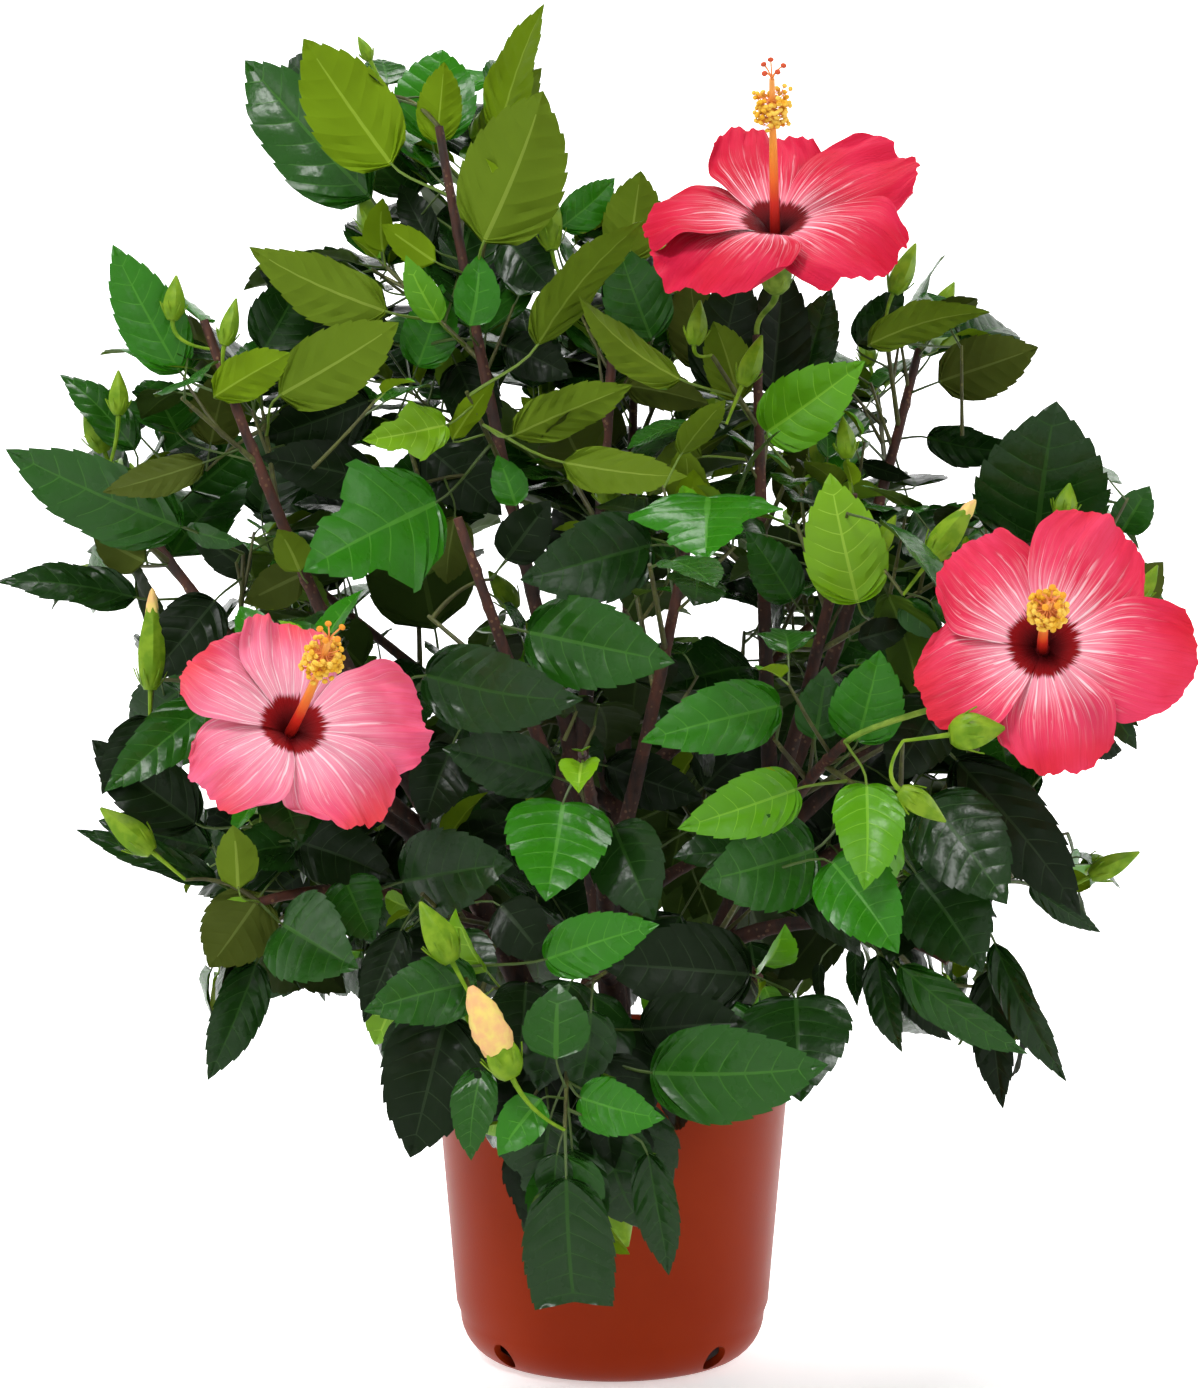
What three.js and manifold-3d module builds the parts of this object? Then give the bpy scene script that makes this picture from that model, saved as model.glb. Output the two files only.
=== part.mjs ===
// A hibiscus shrub in flower, standing in its round plastic grower's pot.
// Millimetres, +Z up. The shrub's front is towards -Y.
// The origin is the centre of the pot's flat underside.
// Five woody stems rise from the soil. Boughs leave them, and each bough carries one mass of leafy twigs.
import * as THREE from "three";
import { mergeVertices } from "three/addons/utils/BufferGeometryUtils.js";
import Module from "manifold-3d";

const wasm = await Module();
wasm.setup();

// ---------------------------------------------------------------- driving dimensions

const pot = {
  height: 205,
  rimRadius: 116, // outside, under the lip
  footRadius: 100, // outside, where the straight wall ends
  footHeight: 30,
  baseRadius: 76, // the flat underside
  wall: 2.5,
  floor: 3,
  lip: 3.5, // how far the rolled rim stands out
  lipDepth: 10,
  sides: 28,
};
const drain = { count: 4, firstTurn: 43, radius: 8, height: 13 };
const soil = { top: 184, dome: 5, sides: 20 };
const fit = 0.3; // clear gap between two neighbouring solids

const barkRadius = { stemFoot: 9, stemTop: 6.5, flare: 4, bough: 5.5, boughTip: 4.2, spineTip: 2.8 };
const twig = { length: 105, radius: 1.9, tipRadius: 1.3, leastLength: 35 };
const leaf = {
  length: 118, // the longest blade
  halfWidth: 0.41, // the rest are shares of the blade's length
  widestAt: 0.36,
  thickness: 0.016,
  petiole: 0.3,
  sag: 0.1,
  petioleRadius: 1.3,
  rootRadius: 0.45, // where the stalk starts, on its twig's axis
  spacing: 22, // along a twig
};
const bud = { length: 34, radius: 7, stalk: 34, stalkRadius: 1.2 };
const bloom = { throat: 52, column: 96, columnRadius: 2.4, antherRadius: 9, stalkRadius: 1.9 };
const crown = { left: -388, right: 374, front: -330, back: 330, top: 872, bottom: 196 };
const goldenAngle = 2.39996;
const spaceGap = 1.5; // from a leaf to the edge of its mass's space
const clearance = 3; // from a blade to a limb or to another blade
const rootReach = 16; // a twig or leaf may touch what it grows on this close to its root

const stems = {
  centre: { foot: [6, 10], top: [-28, 12, 400] },
  left: { foot: [-38, -6], top: [-118, -28, 350] },
  right: { foot: [42, -4], top: [104, -22, 350] },
  front: { foot: [2, -42], top: [-4, -92, 305] },
  back: { foot: [2, 50], top: [8, 118, 380] },
};

// Each mass: the stem that bears it, where on it the bough starts, from 0 at the soil to 1 at the top,
// the tip of its main shoot, the bare share of the bough, how far the mass reaches from its middle,
// its twigs and buds, and the height that it keeps above.
const masses = [
  {
    name: "leader", stem: "centre", from: 1, tip: [-112, -6, 792],
    bare: 0.36, reach: 200, twigs: 6, buds: 2,
  },
  {
    name: "top_centre", stem: "centre", from: 0.86, tip: [4, 0, 712],
    bare: 0.5, reach: 150, twigs: 4, buds: 2,
  },
  {
    name: "top_right", stem: "right", from: 0.97, tip: [92, -24, 655],
    bare: 0.5, reach: 150, twigs: 4, buds: 1,
  },
  {
    name: "right_high", stem: "right", from: 1, tip: [204, 46, 655],
    bare: 0.55, reach: 150, twigs: 4, buds: 2,
  },
  {
    name: "right_middle", stem: "right", from: 0.9, tip: [146, -104, 548],
    bare: 0.45, reach: 140, twigs: 4, buds: 1,
  },
  {
    name: "right_far", stem: "right", from: 0.83, tip: [292, -20, 560],
    bare: 0.5, reach: 150, twigs: 4, buds: 1,
  },
  {
    name: "right_side", stem: "right", from: 0.6, tip: [276, 16, 362],
    bare: 0.45, reach: 150, twigs: 3, buds: 1,
  },
  {
    name: "right_front", stem: "right", from: 0.72, tip: [134, -182, 398],
    bare: 0.48, reach: 140, twigs: 3, buds: 2,
  },
  {
    name: "low_right", stem: "right", from: 0.46, tip: [206, -86, 262],
    bare: 0.42, reach: 150, twigs: 4, buds: 0, lowest: 160,
  },
  {
    name: "centre_right", stem: "front", from: 0.98, tip: [46, -156, 528],
    bare: 0.42, reach: 140, twigs: 4, buds: 0,
  },
  {
    name: "centre_left", stem: "front", from: 1, tip: [-92, -150, 530],
    bare: 0.42, reach: 140, twigs: 4, buds: 0,
  },
  {
    name: "centre_low", stem: "front", from: 0.85, tip: [-18, -206, 392],
    bare: 0.38, reach: 130, twigs: 4, buds: 0,
  },
  {
    name: "front_low", stem: "front", from: 0.5, tip: [-26, -214, 226],
    bare: 0.34, reach: 140, twigs: 4, buds: 1, lowest: 72,
  },
  {
    name: "front_low_left", stem: "front", from: 0.66, tip: [-122, -168, 262],
    bare: 0.4, reach: 140, twigs: 4, buds: 1, lowest: 150,
  },
  {
    name: "front_low_right", stem: "front", from: 0.6, tip: [84, -186, 262],
    bare: 0.4, reach: 140, twigs: 4, buds: 0, lowest: 150,
  },
  {
    name: "low_left", stem: "left", from: 0.5, tip: [-214, -112, 300],
    bare: 0.42, reach: 150, twigs: 4, buds: 1,
  },
  {
    name: "left_front", stem: "left", from: 0.74, tip: [-216, -138, 396],
    bare: 0.45, reach: 140, twigs: 3, buds: 1,
  },
  {
    name: "left_high", stem: "left", from: 1, tip: [-256, -56, 660],
    bare: 0.45, reach: 150, twigs: 5, buds: 2,
  },
  {
    name: "left_far", stem: "left", from: 0.86, tip: [-322, 6, 560],
    bare: 0.48, reach: 150, twigs: 4, buds: 2,
  },
  {
    name: "left_back", stem: "back", from: 0.82, tip: [-206, 150, 500],
    bare: 0.48, reach: 160, twigs: 3, buds: 1,
  },
  {
    name: "back_high", stem: "back", from: 1, tip: [16, 138, 650],
    bare: 0.42, reach: 160, twigs: 4, buds: 1,
  },
  {
    name: "right_back", stem: "back", from: 0.9, tip: [168, 186, 500],
    bare: 0.48, reach: 160, twigs: 4, buds: 1,
  },
  {
    name: "back_left_low", stem: "back", from: 0.55, tip: [-168, 176, 318],
    bare: 0.42, reach: 160, twigs: 3, buds: 0,
  },
  {
    name: "back_middle", stem: "back", from: 0.7, tip: [-22, 244, 430],
    bare: 0.44, reach: 160, twigs: 4, buds: 1,
  },
  {
    name: "back_right_low", stem: "back", from: 0.45, tip: [118, 204, 312],
    bare: 0.42, reach: 160, twigs: 3, buds: 0,
  },
];

// Each large flower ends the main shoot of one mass. The axis is the way that the column points.
const blooms = [
  {
    name: "bloom_left", mass: "left_front", centre: [-180, -222, 410],
    axis: [0.3, -0.82, 0.48], turn: -13, size: 0.92,
  },
  {
    name: "bloom_right", mass: "right_front", centre: [240, -232, 455],
    axis: [-0.12, -0.95, 0.28], turn: 42, size: 1,
  },
  {
    name: "bloom_top", mass: "top_right", centre: [99, -92, 720],
    axis: [-0.06, -0.62, 0.78], turn: 12, size: 1.04,
  },
];

// ---------------------------------------------------------------- small helpers

const up = new THREE.Vector3(0, 0, 1);
const sunny = new THREE.Vector3(0, -0.7, 0); // leaves turn a little towards the light in front
const vector = (xyz) => new THREE.Vector3(...xyz);
const along = (start, direction, distance) => start.clone().addScaledVector(direction, distance);

// Numbers from 0 to 1 that come out the same every time.
function randomStream(seed) {
  let state = seed * 7919 + 13;
  return () => {
    state = (state * 1664525 + 1013904223) % 4294967296;
    return state / 4294967296;
  };
}

// Two directions square to `axis` and to each other, with side x other = axis.
// The side is the one nearest `like`.
function squareTo(axis, like = Math.abs(axis.z) < 0.9 ? up : new THREE.Vector3(1, 0, 0)) {
  const other = axis.clone().cross(like).normalize();
  return { side: other.clone().cross(axis), other };
}

function ring(centre, axis, radius, sides, like) {
  const { side, other } = squareTo(axis, like);
  return Array.from({ length: sides }, (_, i) => {
    const angle = (2 * Math.PI * i) / sides;
    return along(along(centre, side, radius * Math.cos(angle)), other, radius * Math.sin(angle));
  });
}

// A closed skin over a row of rings, each counter-clockwise about the way they advance.
// The last may be one point.
function loft(rings) {
  const count = rings[0].length;
  const faces = [];
  for (let i = 1; i < count - 1; i++) faces.push(0, i + 1, i);
  rings.slice(1).forEach((next, r) => {
    const low = r * count;
    const high = low + count;
    for (let i = 0; i < count; i++) {
      const j = (i + 1) % count;
      if (next.length === 1) faces.push(low + i, low + j, high);
      else faces.push(low + i, low + j, high + j, low + i, high + j, high + i);
    }
  });
  const last = (rings.length - 1) * count;
  if (rings.at(-1).length > 1) for (let i = 1; i < count - 1; i++) faces.push(last, last + i, last + i + 1);
  return solidOf(new THREE.BufferGeometry().setFromPoints(rings.flat()).setIndex(faces));
}

function solidOf(geometry) {
  return new wasm.Manifold(
    new wasm.Mesh({
      numProp: 3,
      vertProperties: geometry.attributes.position.array,
      triVerts: new Uint32Array(geometry.index.array),
    }),
  );
}

// A turned shape from its outline of [radius, height] pairs.
function turned(outline, sides) {
  const geometry = new THREE.LatheGeometry(outline.map(([r, z]) => new THREE.Vector2(r, z)), sides);
  geometry.deleteAttribute("normal").deleteAttribute("uv").rotateX(Math.PI / 2);
  return solidOf(mergeVertices(geometry, 1e-3));
}

// A tapering limb along part of a curve. `grow` thickens it, for cutting a clear gap round it.
function limb(curve, size) {
  const { from = 0, to = 1, radius, tipRadius, sides, steps, grow = 0, flat = false, flare = 0 } = size;
  const rings = [];
  const like = squareTo(curve.getPoint(to).sub(curve.getPoint(from)).normalize()).side;
  for (let i = 0; i <= steps; i++) {
    const share = i / steps;
    const t = from + (to - from) * share;
    const thick = radius + (tipRadius - radius) * share + flare * Math.exp(-9 * share) + grow;
    const made = ring(curve.getPoint(t), curve.getTangent(t), thick, sides, like);
    if (flat && i === 0) made.forEach((point) => point.setZ(curve.getPoint(0).z));
    rings.push(made);
  }
  return loft(rings);
}

// A loose scrap is dropped.
const largest = (solid) => solid.decompose().sort((a, b) => b.volume() - a.volume())[0];

function meshOf(name, solid, material) {
  const { vertProperties, triVerts } = solid.getMesh();
  const geometry = new THREE.BufferGeometry()
    .setAttribute("position", new THREE.BufferAttribute(vertProperties, 3))
    .setIndex(new THREE.BufferAttribute(triVerts, 1));
  geometry.computeVertexNormals();
  const mesh = new THREE.Mesh(geometry, material);
  mesh.name = name;
  return mesh;
}

// ---------------------------------------------------------------- pot and soil

const wallRadius = (z) =>
  THREE.MathUtils.mapLinear(z, pot.footHeight, pot.height, pot.footRadius, pot.rimRadius);

function makePot() {
  const { height, wall, floor, lip, lipDepth, footHeight, footRadius, baseRadius } = pot;
  const rim = wallRadius(height);
  const lipFoot = height - lipDepth;
  const outline = [
    [0, 0],
    [baseRadius, 0],
    [footRadius - 4, footHeight * 0.55],
    [footRadius, footHeight],
    [wallRadius(lipFoot), lipFoot],
    [rim + lip, lipFoot + 2],
    [rim + lip, height],
    [rim - wall, height],
    [footRadius - wall, footHeight],
    [baseRadius, floor],
    [0, floor],
  ];
  const hole = new THREE.CylinderGeometry(drain.radius, drain.radius, 40, 10).rotateZ(Math.PI / 2);
  hole.deleteAttribute("normal").deleteAttribute("uv");
  hole.translate(pot.footRadius - 4, 0, drain.height);
  const cutter = solidOf(mergeVertices(hole, 1e-3));
  let body = turned(outline, pot.sides);
  for (let i = 0; i < drain.count; i++) {
    body = body.subtract(cutter.rotate([0, 0, drain.firstTurn + (360 * i) / drain.count]));
  }
  return body;
}

function makeSoil() {
  const inner = (z) => wallRadius(z) - pot.wall - fit - 0.4;
  const { floor, footHeight, baseRadius } = pot;
  return turned(
    [
      [0, floor + fit],
      [baseRadius - 2, floor + fit],
      [inner(footHeight) - 1, footHeight + 1],
      [inner(soil.top), soil.top],
      [inner(soil.top) * 0.6, soil.top + soil.dome * 0.3],
      [66, soil.top + soil.dome],
      [0, soil.top + soil.dome],
    ],
    soil.sides,
  );
}

// ---------------------------------------------------------------- the woody frame

function stemCurve({ foot, top }) {
  const start = new THREE.Vector3(foot[0], foot[1], soil.top + soil.dome + fit);
  const end = vector(top);
  const middle = start.clone().lerp(end, 0.5);
  middle.x -= (end.x - start.x) * 0.12;
  middle.y -= (end.y - start.y) * 0.12;
  return new THREE.QuadraticBezierCurve3(start, middle, end);
}

// High shoots sag a little on the way out and then rise. Low ones arch over and hang.
function limbCurve(start, tip) {
  const middle = start.clone().lerp(tip, 0.5);
  middle.z += start.distanceTo(tip) * THREE.MathUtils.clamp(
    THREE.MathUtils.mapLinear(tip.z, 220, 560, 0.3, -0.12), -0.12, 0.3);
  return new THREE.QuadraticBezierCurve3(start, middle, tip);
}

const stemSize = {
  radius: barkRadius.stemFoot, tipRadius: barkRadius.stemTop, flare: barkRadius.flare,
  sides: 8, steps: 6, flat: true,
};

for (const stem of Object.values(stems)) stem.curve = stemCurve(stem);
for (const mass of masses) {
  mass.curve = limbCurve(stems[mass.stem].curve.getPoint(mass.from), vector(mass.tip));
  mass.middle = mass.curve.getPoint(mass.bare + 0.72 * (1 - mass.bare));
}

const boughSize = (mass, grow = 0) => ({
  to: mass.bare, radius: barkRadius.bough, tipRadius: barkRadius.boughTip, sides: 5, steps: 3, grow,
});

// A bough is cut clear of every stem and of the boughs made before it.
function makeBoughs() {
  const cutters = Object.values(stems).map((stem) => limb(stem.curve, { ...stemSize, grow: fit }));
  return masses.map((mass) => {
    const cut = cutters.reduce((rest, cutter) => rest.subtract(cutter), limb(mass.curve, boughSize(mass)));
    cutters.push(limb(mass.curve, boughSize(mass, fit)));
    return largest(cut);
  });
}

// ---------------------------------------------------------------- spaces, and what a leaf must miss

function insideCrown(mass, point) {
  const fromAxis = Math.hypot(point.x, point.y);
  const besidePot = point.z < pot.height + 14 && fromAxis < pot.rimRadius + 12;
  return (
    !besidePot && point.distanceTo(mass.middle) < mass.reach &&
    point.z > (mass.lowest ?? crown.bottom) && point.z < crown.top &&
    point.x > crown.left && point.x < crown.right && point.y > crown.front && point.y < crown.back
  );
}

// A mass keeps to what is nearer to its own middle than to any other's.
function inSpace(mass, point) {
  return insideCrown(mass, point) && masses.every((other) => {
    if (other === mass) return true;
    const apart = other.middle.clone().sub(mass.middle);
    const across = other.middle.clone().add(mass.middle).multiplyScalar(0.5).sub(point);
    return across.dot(apart) / apart.length() > spaceGap;
  });
}

const obstacles = []; // points on limbs and flowers, with their radius
function addObstacles(curve, from, to, radius) {
  const steps = Math.ceil(curve.getLength() / 6);
  for (let i = 0; i <= steps; i++) {
    obstacles.push({ point: curve.getPoint(from + ((to - from) * i) / steps), radius });
  }
}

// Whether a straight twig misses every limb but the one it starts on.
function isClear(start, end, thick) {
  const line = new THREE.Line3(start, end);
  return obstacles.every(({ point, radius }) => {
    if (point.distanceTo(start) < rootReach) return true;
    return line.closestPointToPoint(point, true, new THREE.Vector3()).distanceTo(point) > radius + thick + 1;
  });
}

// Whether a point with some thickness lies in a blade.
function touchesBlade(blade, point, radius) {
  const away = point.clone().sub(blade.base);
  const length = away.dot(blade.ahead);
  const width = (length > 0.65 * blade.length ? 0.65 : 1) * blade.halfWidth;
  return (
    length > -radius && length < blade.length + radius &&
    Math.abs(away.dot(blade.side)) < width + radius && Math.abs(away.dot(blade.normal)) < radius + clearance
  );
}

const tipOf = ({ base, ahead, normal, length }) =>
  along(along(base, ahead, length), normal, -leaf.sag * length);

// Points of a leaf: two on its stalk, then its blade's outline and middle, and its tip.
function samplesOf(blade) {
  const { node, base, ahead, side, length, halfWidth } = blade;
  const places = [[0, 0], [0.36, 0], [0.36, 1], [0.36, -1], [0.7, 0], [0.7, 0.5], [0.7, -0.5]];
  const points = places.map(([a, s]) => along(along(base, ahead, a * length), side, s * halfWidth));
  return [node.clone().lerp(base, 0.35), node.clone().lerp(base, 0.7), ...points, tipOf(blade)];
}

// ---------------------------------------------------------------- twigs

function twigsOf(mass, random) {
  const { boughTip, spineTip } = barkRadius;
  const made = [{ curve: mass.curve, from: mass.bare, radius: boughTip, tipRadius: spineTip }];
  const turn = random() * 2 * Math.PI;
  for (let i = 0; i < mass.twigs; i++) {
    const t = mass.bare + (1 - mass.bare) * (0.08 + (0.8 * i) / mass.twigs);
    const start = mass.curve.getPoint(t);
    const axis = mass.curve.getTangent(t);
    const { side, other } = squareTo(axis);
    const angle = turn + i * goldenAngle;
    const radial = side.multiplyScalar(Math.cos(angle)).addScaledVector(other, Math.sin(angle));
    const heading = axis.multiplyScalar(0.62).addScaledVector(radial, 0.78).normalize();
    heading.z += THREE.MathUtils.mapLinear(start.z, 250, 600, -0.1, 0.35);
    heading.normalize();
    let length = twig.length * (1 - (0.35 * i) / mass.twigs) * (0.85 + 0.3 * random());
    const isFree = (end) => inSpace(mass, end) && isClear(start, end, twig.radius + fit);
    while (length > twig.leastLength && !isFree(along(start, heading, length + 8))) length *= 0.8;
    if (length <= twig.leastLength) continue;
    const curve = new THREE.LineCurve3(start, along(start, heading, length));
    made.push({ curve, from: 0, radius: twig.radius, tipRadius: twig.tipRadius });
    addObstacles(curve, 0.12, 1, twig.radius);
  }
  return made;
}

// ---------------------------------------------------------------- leaves

// One leaf at a node of a twig: its stalk leaves at an angle, and the blade hangs more the lower it grows.
function leafAt(node, axis, angle, size, random) {
  const lift = THREE.MathUtils.mapLinear(node.z, 230, 720, -0.75, 0.5);
  const { side, other } = squareTo(axis);
  const radial = side.multiplyScalar(Math.cos(angle)).addScaledVector(other, Math.sin(angle));
  const lean = 0.75 + 0.35 * random();
  const length = leaf.length * size;
  const stalk = axis.clone().multiplyScalar(Math.cos(lean)).addScaledVector(radial, Math.sin(lean))
    .addScaledVector(up, 0.3 * lift).normalize();
  const base = along(node, stalk, length * leaf.petiole * (0.8 + 0.5 * random()) + 6);
  const ahead = stalk.clone().addScaledVector(up, lift - 0.45 * random()).normalize();
  const outward = new THREE.Vector3(base.x, base.y, 0).normalize().add(sunny).normalize();
  const light = up.clone().addScaledVector(outward, 0.9).normalize();
  const normal = light.addScaledVector(ahead, -light.dot(ahead)).normalize();
  normal.applyAxisAngle(ahead, (random() - 0.5) * 0.9);
  return {
    node, stalk, base, ahead, normal, side: normal.clone().cross(ahead), length,
    halfWidth: length * leaf.halfWidth * (0.9 + 0.25 * random()),
  };
}

function fits(mass, blade, blades) {
  const samples = samplesOf(blade);
  if (!samples.every((point) => inSpace(mass, point))) return false;
  const hit = ({ point, radius }) =>
    point.distanceTo(blade.node) > rootReach && touchesBlade(blade, point, radius);
  if (obstacles.some(hit) || !isClear(blade.node, blade.base, leaf.petioleRadius)) return false;
  return blades.every(
    (old) =>
      old.base.distanceTo(blade.base) > 240 ||
      !(samples.some((point) => touchesBlade(old, point, 1)) ||
        samplesOf(old).some((point) => touchesBlade(blade, point, 1))),
  );
}

// Nodes run up the twig by the golden angle. A leaf that would leave the space or touch something is skipped.
function leavesOn(mass, shoot, blades, random) {
  const { curve, from } = shoot;
  const length = curve.getPoint(from).distanceTo(curve.getPoint(1));
  const count = Math.max(2, Math.round(length / leaf.spacing));
  const turn = random() * 2 * Math.PI;
  const made = [];
  for (let i = 1; i <= count; i++) {
    const t = from + (1 - from) * (0.12 + (0.84 * i) / count);
    const node = curve.getPoint(t);
    const fromTip = length * (1 - i / count);
    const size = (0.5 + 0.5 * Math.min(1, fromTip / 55)) * (0.82 + 0.25 * random());
    for (let attempt = 0; attempt < 9; attempt++) {
      const angle = turn + i * goldenAngle + attempt * 0.85;
      const blade = leafAt(node, curve.getTangent(t), angle, size * (1 - 0.04 * attempt), random);
      if (!fits(mass, blade, blades)) continue;
      blades.push(blade);
      made.push(blade);
      break;
    }
  }
  return made;
}

// A leaf's solid: a three-sided stalk that widens into a flat blade with a slight keel.
function leafSolid(blade) {
  const { node, base, ahead, normal, side, length, halfWidth } = blade;
  const section = (centre, half, depth) => [
    along(centre, side, half),
    along(centre, side, -half),
    along(centre, normal, -depth),
  ];
  const widest = along(base, ahead, leaf.widestAt * length);
  return loft([
    section(node, leaf.rootRadius, leaf.rootRadius),
    section(base, leaf.petioleRadius, leaf.petioleRadius * 1.5),
    section(widest, halfWidth, leaf.thickness * length),
    [tipOf(blade)],
  ]);
}

// ---------------------------------------------------------------- buds and blooms

function turnedAlong(start, axis, profile, sides) {
  return loft(profile.map(([distance, radius]) =>
    radius ? ring(along(start, axis, distance), axis, radius, sides) : [along(start, axis, distance)]));
}

function budSolid(mass, shoot, index, blades, random) {
  const root = shoot.curve.getPoint(0.985);
  for (let attempt = 0; attempt < 8; attempt++) {
    const { side, other } = squareTo(shoot.curve.getTangent(1));
    const angle = index * goldenAngle + attempt * 0.8;
    const heading = shoot.curve.getTangent(1).multiplyScalar(0.8)
      .addScaledVector(side, 0.45 * Math.cos(angle)).addScaledVector(other, 0.45 * Math.sin(angle))
      .addScaledVector(up, 0.5).normalize();
    const base = along(root, heading, bud.stalk * (0.8 + 0.4 * random()));
    const tip = along(base, heading, bud.length);
    const places = [base, along(base, heading, bud.length / 2), tip];
    const free = places.every((point) => inSpace(mass, point) &&
      !blades.some((blade) => touchesBlade(blade, point, bud.radius))) && isClear(root, tip, bud.radius);
    if (!free) continue;
    for (const point of places) obstacles.push({ point, radius: bud.radius });
    const stalk = base.distanceTo(root);
    return turnedAlong(root, heading, [
      [0, 0.6 * bud.stalkRadius],
      [stalk, 1.4 * bud.stalkRadius],
      [stalk + 0.3 * bud.length, bud.radius],
      [stalk + 0.62 * bud.length, 0.9 * bud.radius],
      [stalk + bud.length, 0],
    ], 4);
  }
  return null;
}

// A petal's stations: distance from the flower's axis, height above its throat, half width.
const petalStations = [[4, -14, 3], [24, 0, 15], [50, 7, 33], [70, 4, 32]];
const petalEnd = [80, -2];
const petalOverlap = 0.14; // each petal leans over the next by this share of its half width

function bloomFrame(flower) {
  const axis = vector(flower.axis).normalize();
  const { side, other } = squareTo(axis);
  return { axis, side, other, centre: vector(flower.centre), size: flower.size };
}

function petalDirection({ side, other }, turn, index) {
  const angle = THREE.MathUtils.degToRad(turn + index * 72);
  return side.clone().multiplyScalar(Math.cos(angle)).addScaledVector(other, Math.sin(angle));
}

function stalkCurve(flower) {
  const { axis, centre, size } = bloomFrame(flower);
  const mass = masses.find(({ name }) => name === flower.mass);
  const tangent = mass.curve.getTangent(1);
  const start = along(mass.curve.getPoint(1), tangent, 2 * fit);
  const calyx = along(centre, axis, -bloom.throat * size);
  const reach = start.distanceTo(calyx);
  return new THREE.CubicBezierCurve3(
    start, along(start, tangent, reach * 0.4), along(calyx, axis, -reach * 0.35), along(calyx, axis, 2));
}

function bloomSolid(flower) {
  const frame = bloomFrame(flower);
  const { axis, centre, size } = frame;
  const parts = [];
  for (let i = 0; i < 5; i++) {
    const out = petalDirection(frame, flower.turn, i);
    const across = axis.clone().cross(out); // out x across = axis, so across, -across, -axis go round `out`
    const place = ([r, h]) => along(along(centre, out, r * size), axis, h * size);
    const rings = petalStations.map(([r, h, half]) => {
      const middle = place([r, h]);
      const edge = (side) =>
        along(along(middle, across, side * half * size), axis, side * half * petalOverlap);
      return [edge(-1), along(middle, axis, -1.8), edge(1)];
    });
    parts.push(loft([...rings, [place(petalEnd)]]));
  }
  const calyx = [[-1, 4.5], [-0.9, 9], [-0.5, 9.5], [-0.2, 7]].map(([a, r]) => [a * bloom.throat * size, r]);
  const { column, columnRadius, antherRadius } = bloom;
  const pistil = [
    [-0.15, columnRadius], [0.6, columnRadius * 0.8], [0.66, antherRadius],
    [0.86, antherRadius], [0.9, columnRadius], [1, 0],
  ].map(([a, r]) => [a * column, r]);
  parts.push(turnedAlong(centre, axis, calyx, 6), turnedAlong(centre, axis, pistil, 5));
  parts.push(limb(stalkCurve(flower), {
    radius: bloom.stalkRadius, tipRadius: bloom.stalkRadius * 1.3, sides: 4, steps: 3,
  }));
  return wasm.Manifold.union(parts);
}

// Leaves keep off the flowers, and off the view into each of them.
function addBloomObstacles(flower) {
  const frame = bloomFrame(flower);
  const { axis, centre, size } = frame;
  for (let i = 0; i < 5; i++) {
    for (const turn of [-24, 0, 24]) {
      const out = petalDirection(frame, flower.turn + turn, i);
      for (const r of [25, 50, 75]) {
        obstacles.push({ point: along(along(centre, out, r * size), axis, 3), radius: 8 });
        obstacles.push({ point: along(along(centre, out, r * size * 0.9), axis, 55), radius: 22 });
      }
    }
  }
  for (let h = -bloom.throat; h <= bloom.column; h += 8) {
    obstacles.push({ point: along(centre, axis, h), radius: bloom.antherRadius + 3 });
  }
  addObstacles(stalkCurve(flower), 0, 1, 4);
}

// ---------------------------------------------------------------- the whole plant

const colours = { pot: 0x8a3a22, soil: 0x2a2019, bark: 0x4a3328, leaf: 0x2f5a1c, petal: 0xee4c78 };
const finish = (color, roughness) => new THREE.MeshStandardMaterial({ color, roughness, metalness: 0 });
const materials = {
  pot: finish(colours.pot, 0.35),
  soil: finish(colours.soil, 0.95),
  bark: finish(colours.bark, 0.85),
  leaf: finish(colours.leaf, 0.4),
  petal: finish(colours.petal, 0.6),
};

function makeFoliage() {
  for (const stem of Object.values(stems)) addObstacles(stem.curve, 0, 1, barkRadius.stemFoot);
  for (const mass of masses) addObstacles(mass.curve, 0, 1, barkRadius.bough);
  blooms.forEach(addBloomObstacles);
  const grown = masses.map((mass, index) => {
    const random = randomStream(index + 1);
    return { mass, random, shoots: twigsOf(mass, random) };
  });

  const blades = [];
  return grown.map(({ mass, random, shoots }) => {
    const wood = shoots.map(({ curve, from, radius, tipRadius }, i) => {
      const start = i ? from : from + fit / mass.curve.getLength();
      return limb(curve, { from: start, radius, tipRadius, sides: 3, steps: i ? 1 : 4 });
    });
    const leaves = shoots.flatMap((shoot) => leavesOn(mass, shoot, blades, random)).map(leafSolid);
    const bearing = shoots.slice(1).reverse();
    const buds = Array.from({ length: mass.buds }, (_, i) => bearing[i])
      .map((shoot, i) => shoot && budSolid(mass, shoot, i, blades, random))
      .filter(Boolean);
    return largest(wasm.Manifold.union([...wood, ...leaves, ...buds]));
  });
}

const shrub = new THREE.Group();
shrub.add(meshOf("pot", makePot(), materials.pot));
shrub.add(meshOf("soil", makeSoil(), materials.soil));
for (const [name, stem] of Object.entries(stems)) {
  shrub.add(meshOf("stem_" + name, limb(stem.curve, stemSize), materials.bark));
}
makeBoughs().forEach((bough, i) => shrub.add(meshOf("bough_" + masses[i].name, bough, materials.bark)));
makeFoliage().forEach((solid, i) => shrub.add(meshOf("mass_" + masses[i].name, solid, materials.leaf)));
for (const flower of blooms) shrub.add(meshOf(flower.name, bloomSolid(flower), materials.petal));

export default shrub;
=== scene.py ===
import math

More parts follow.
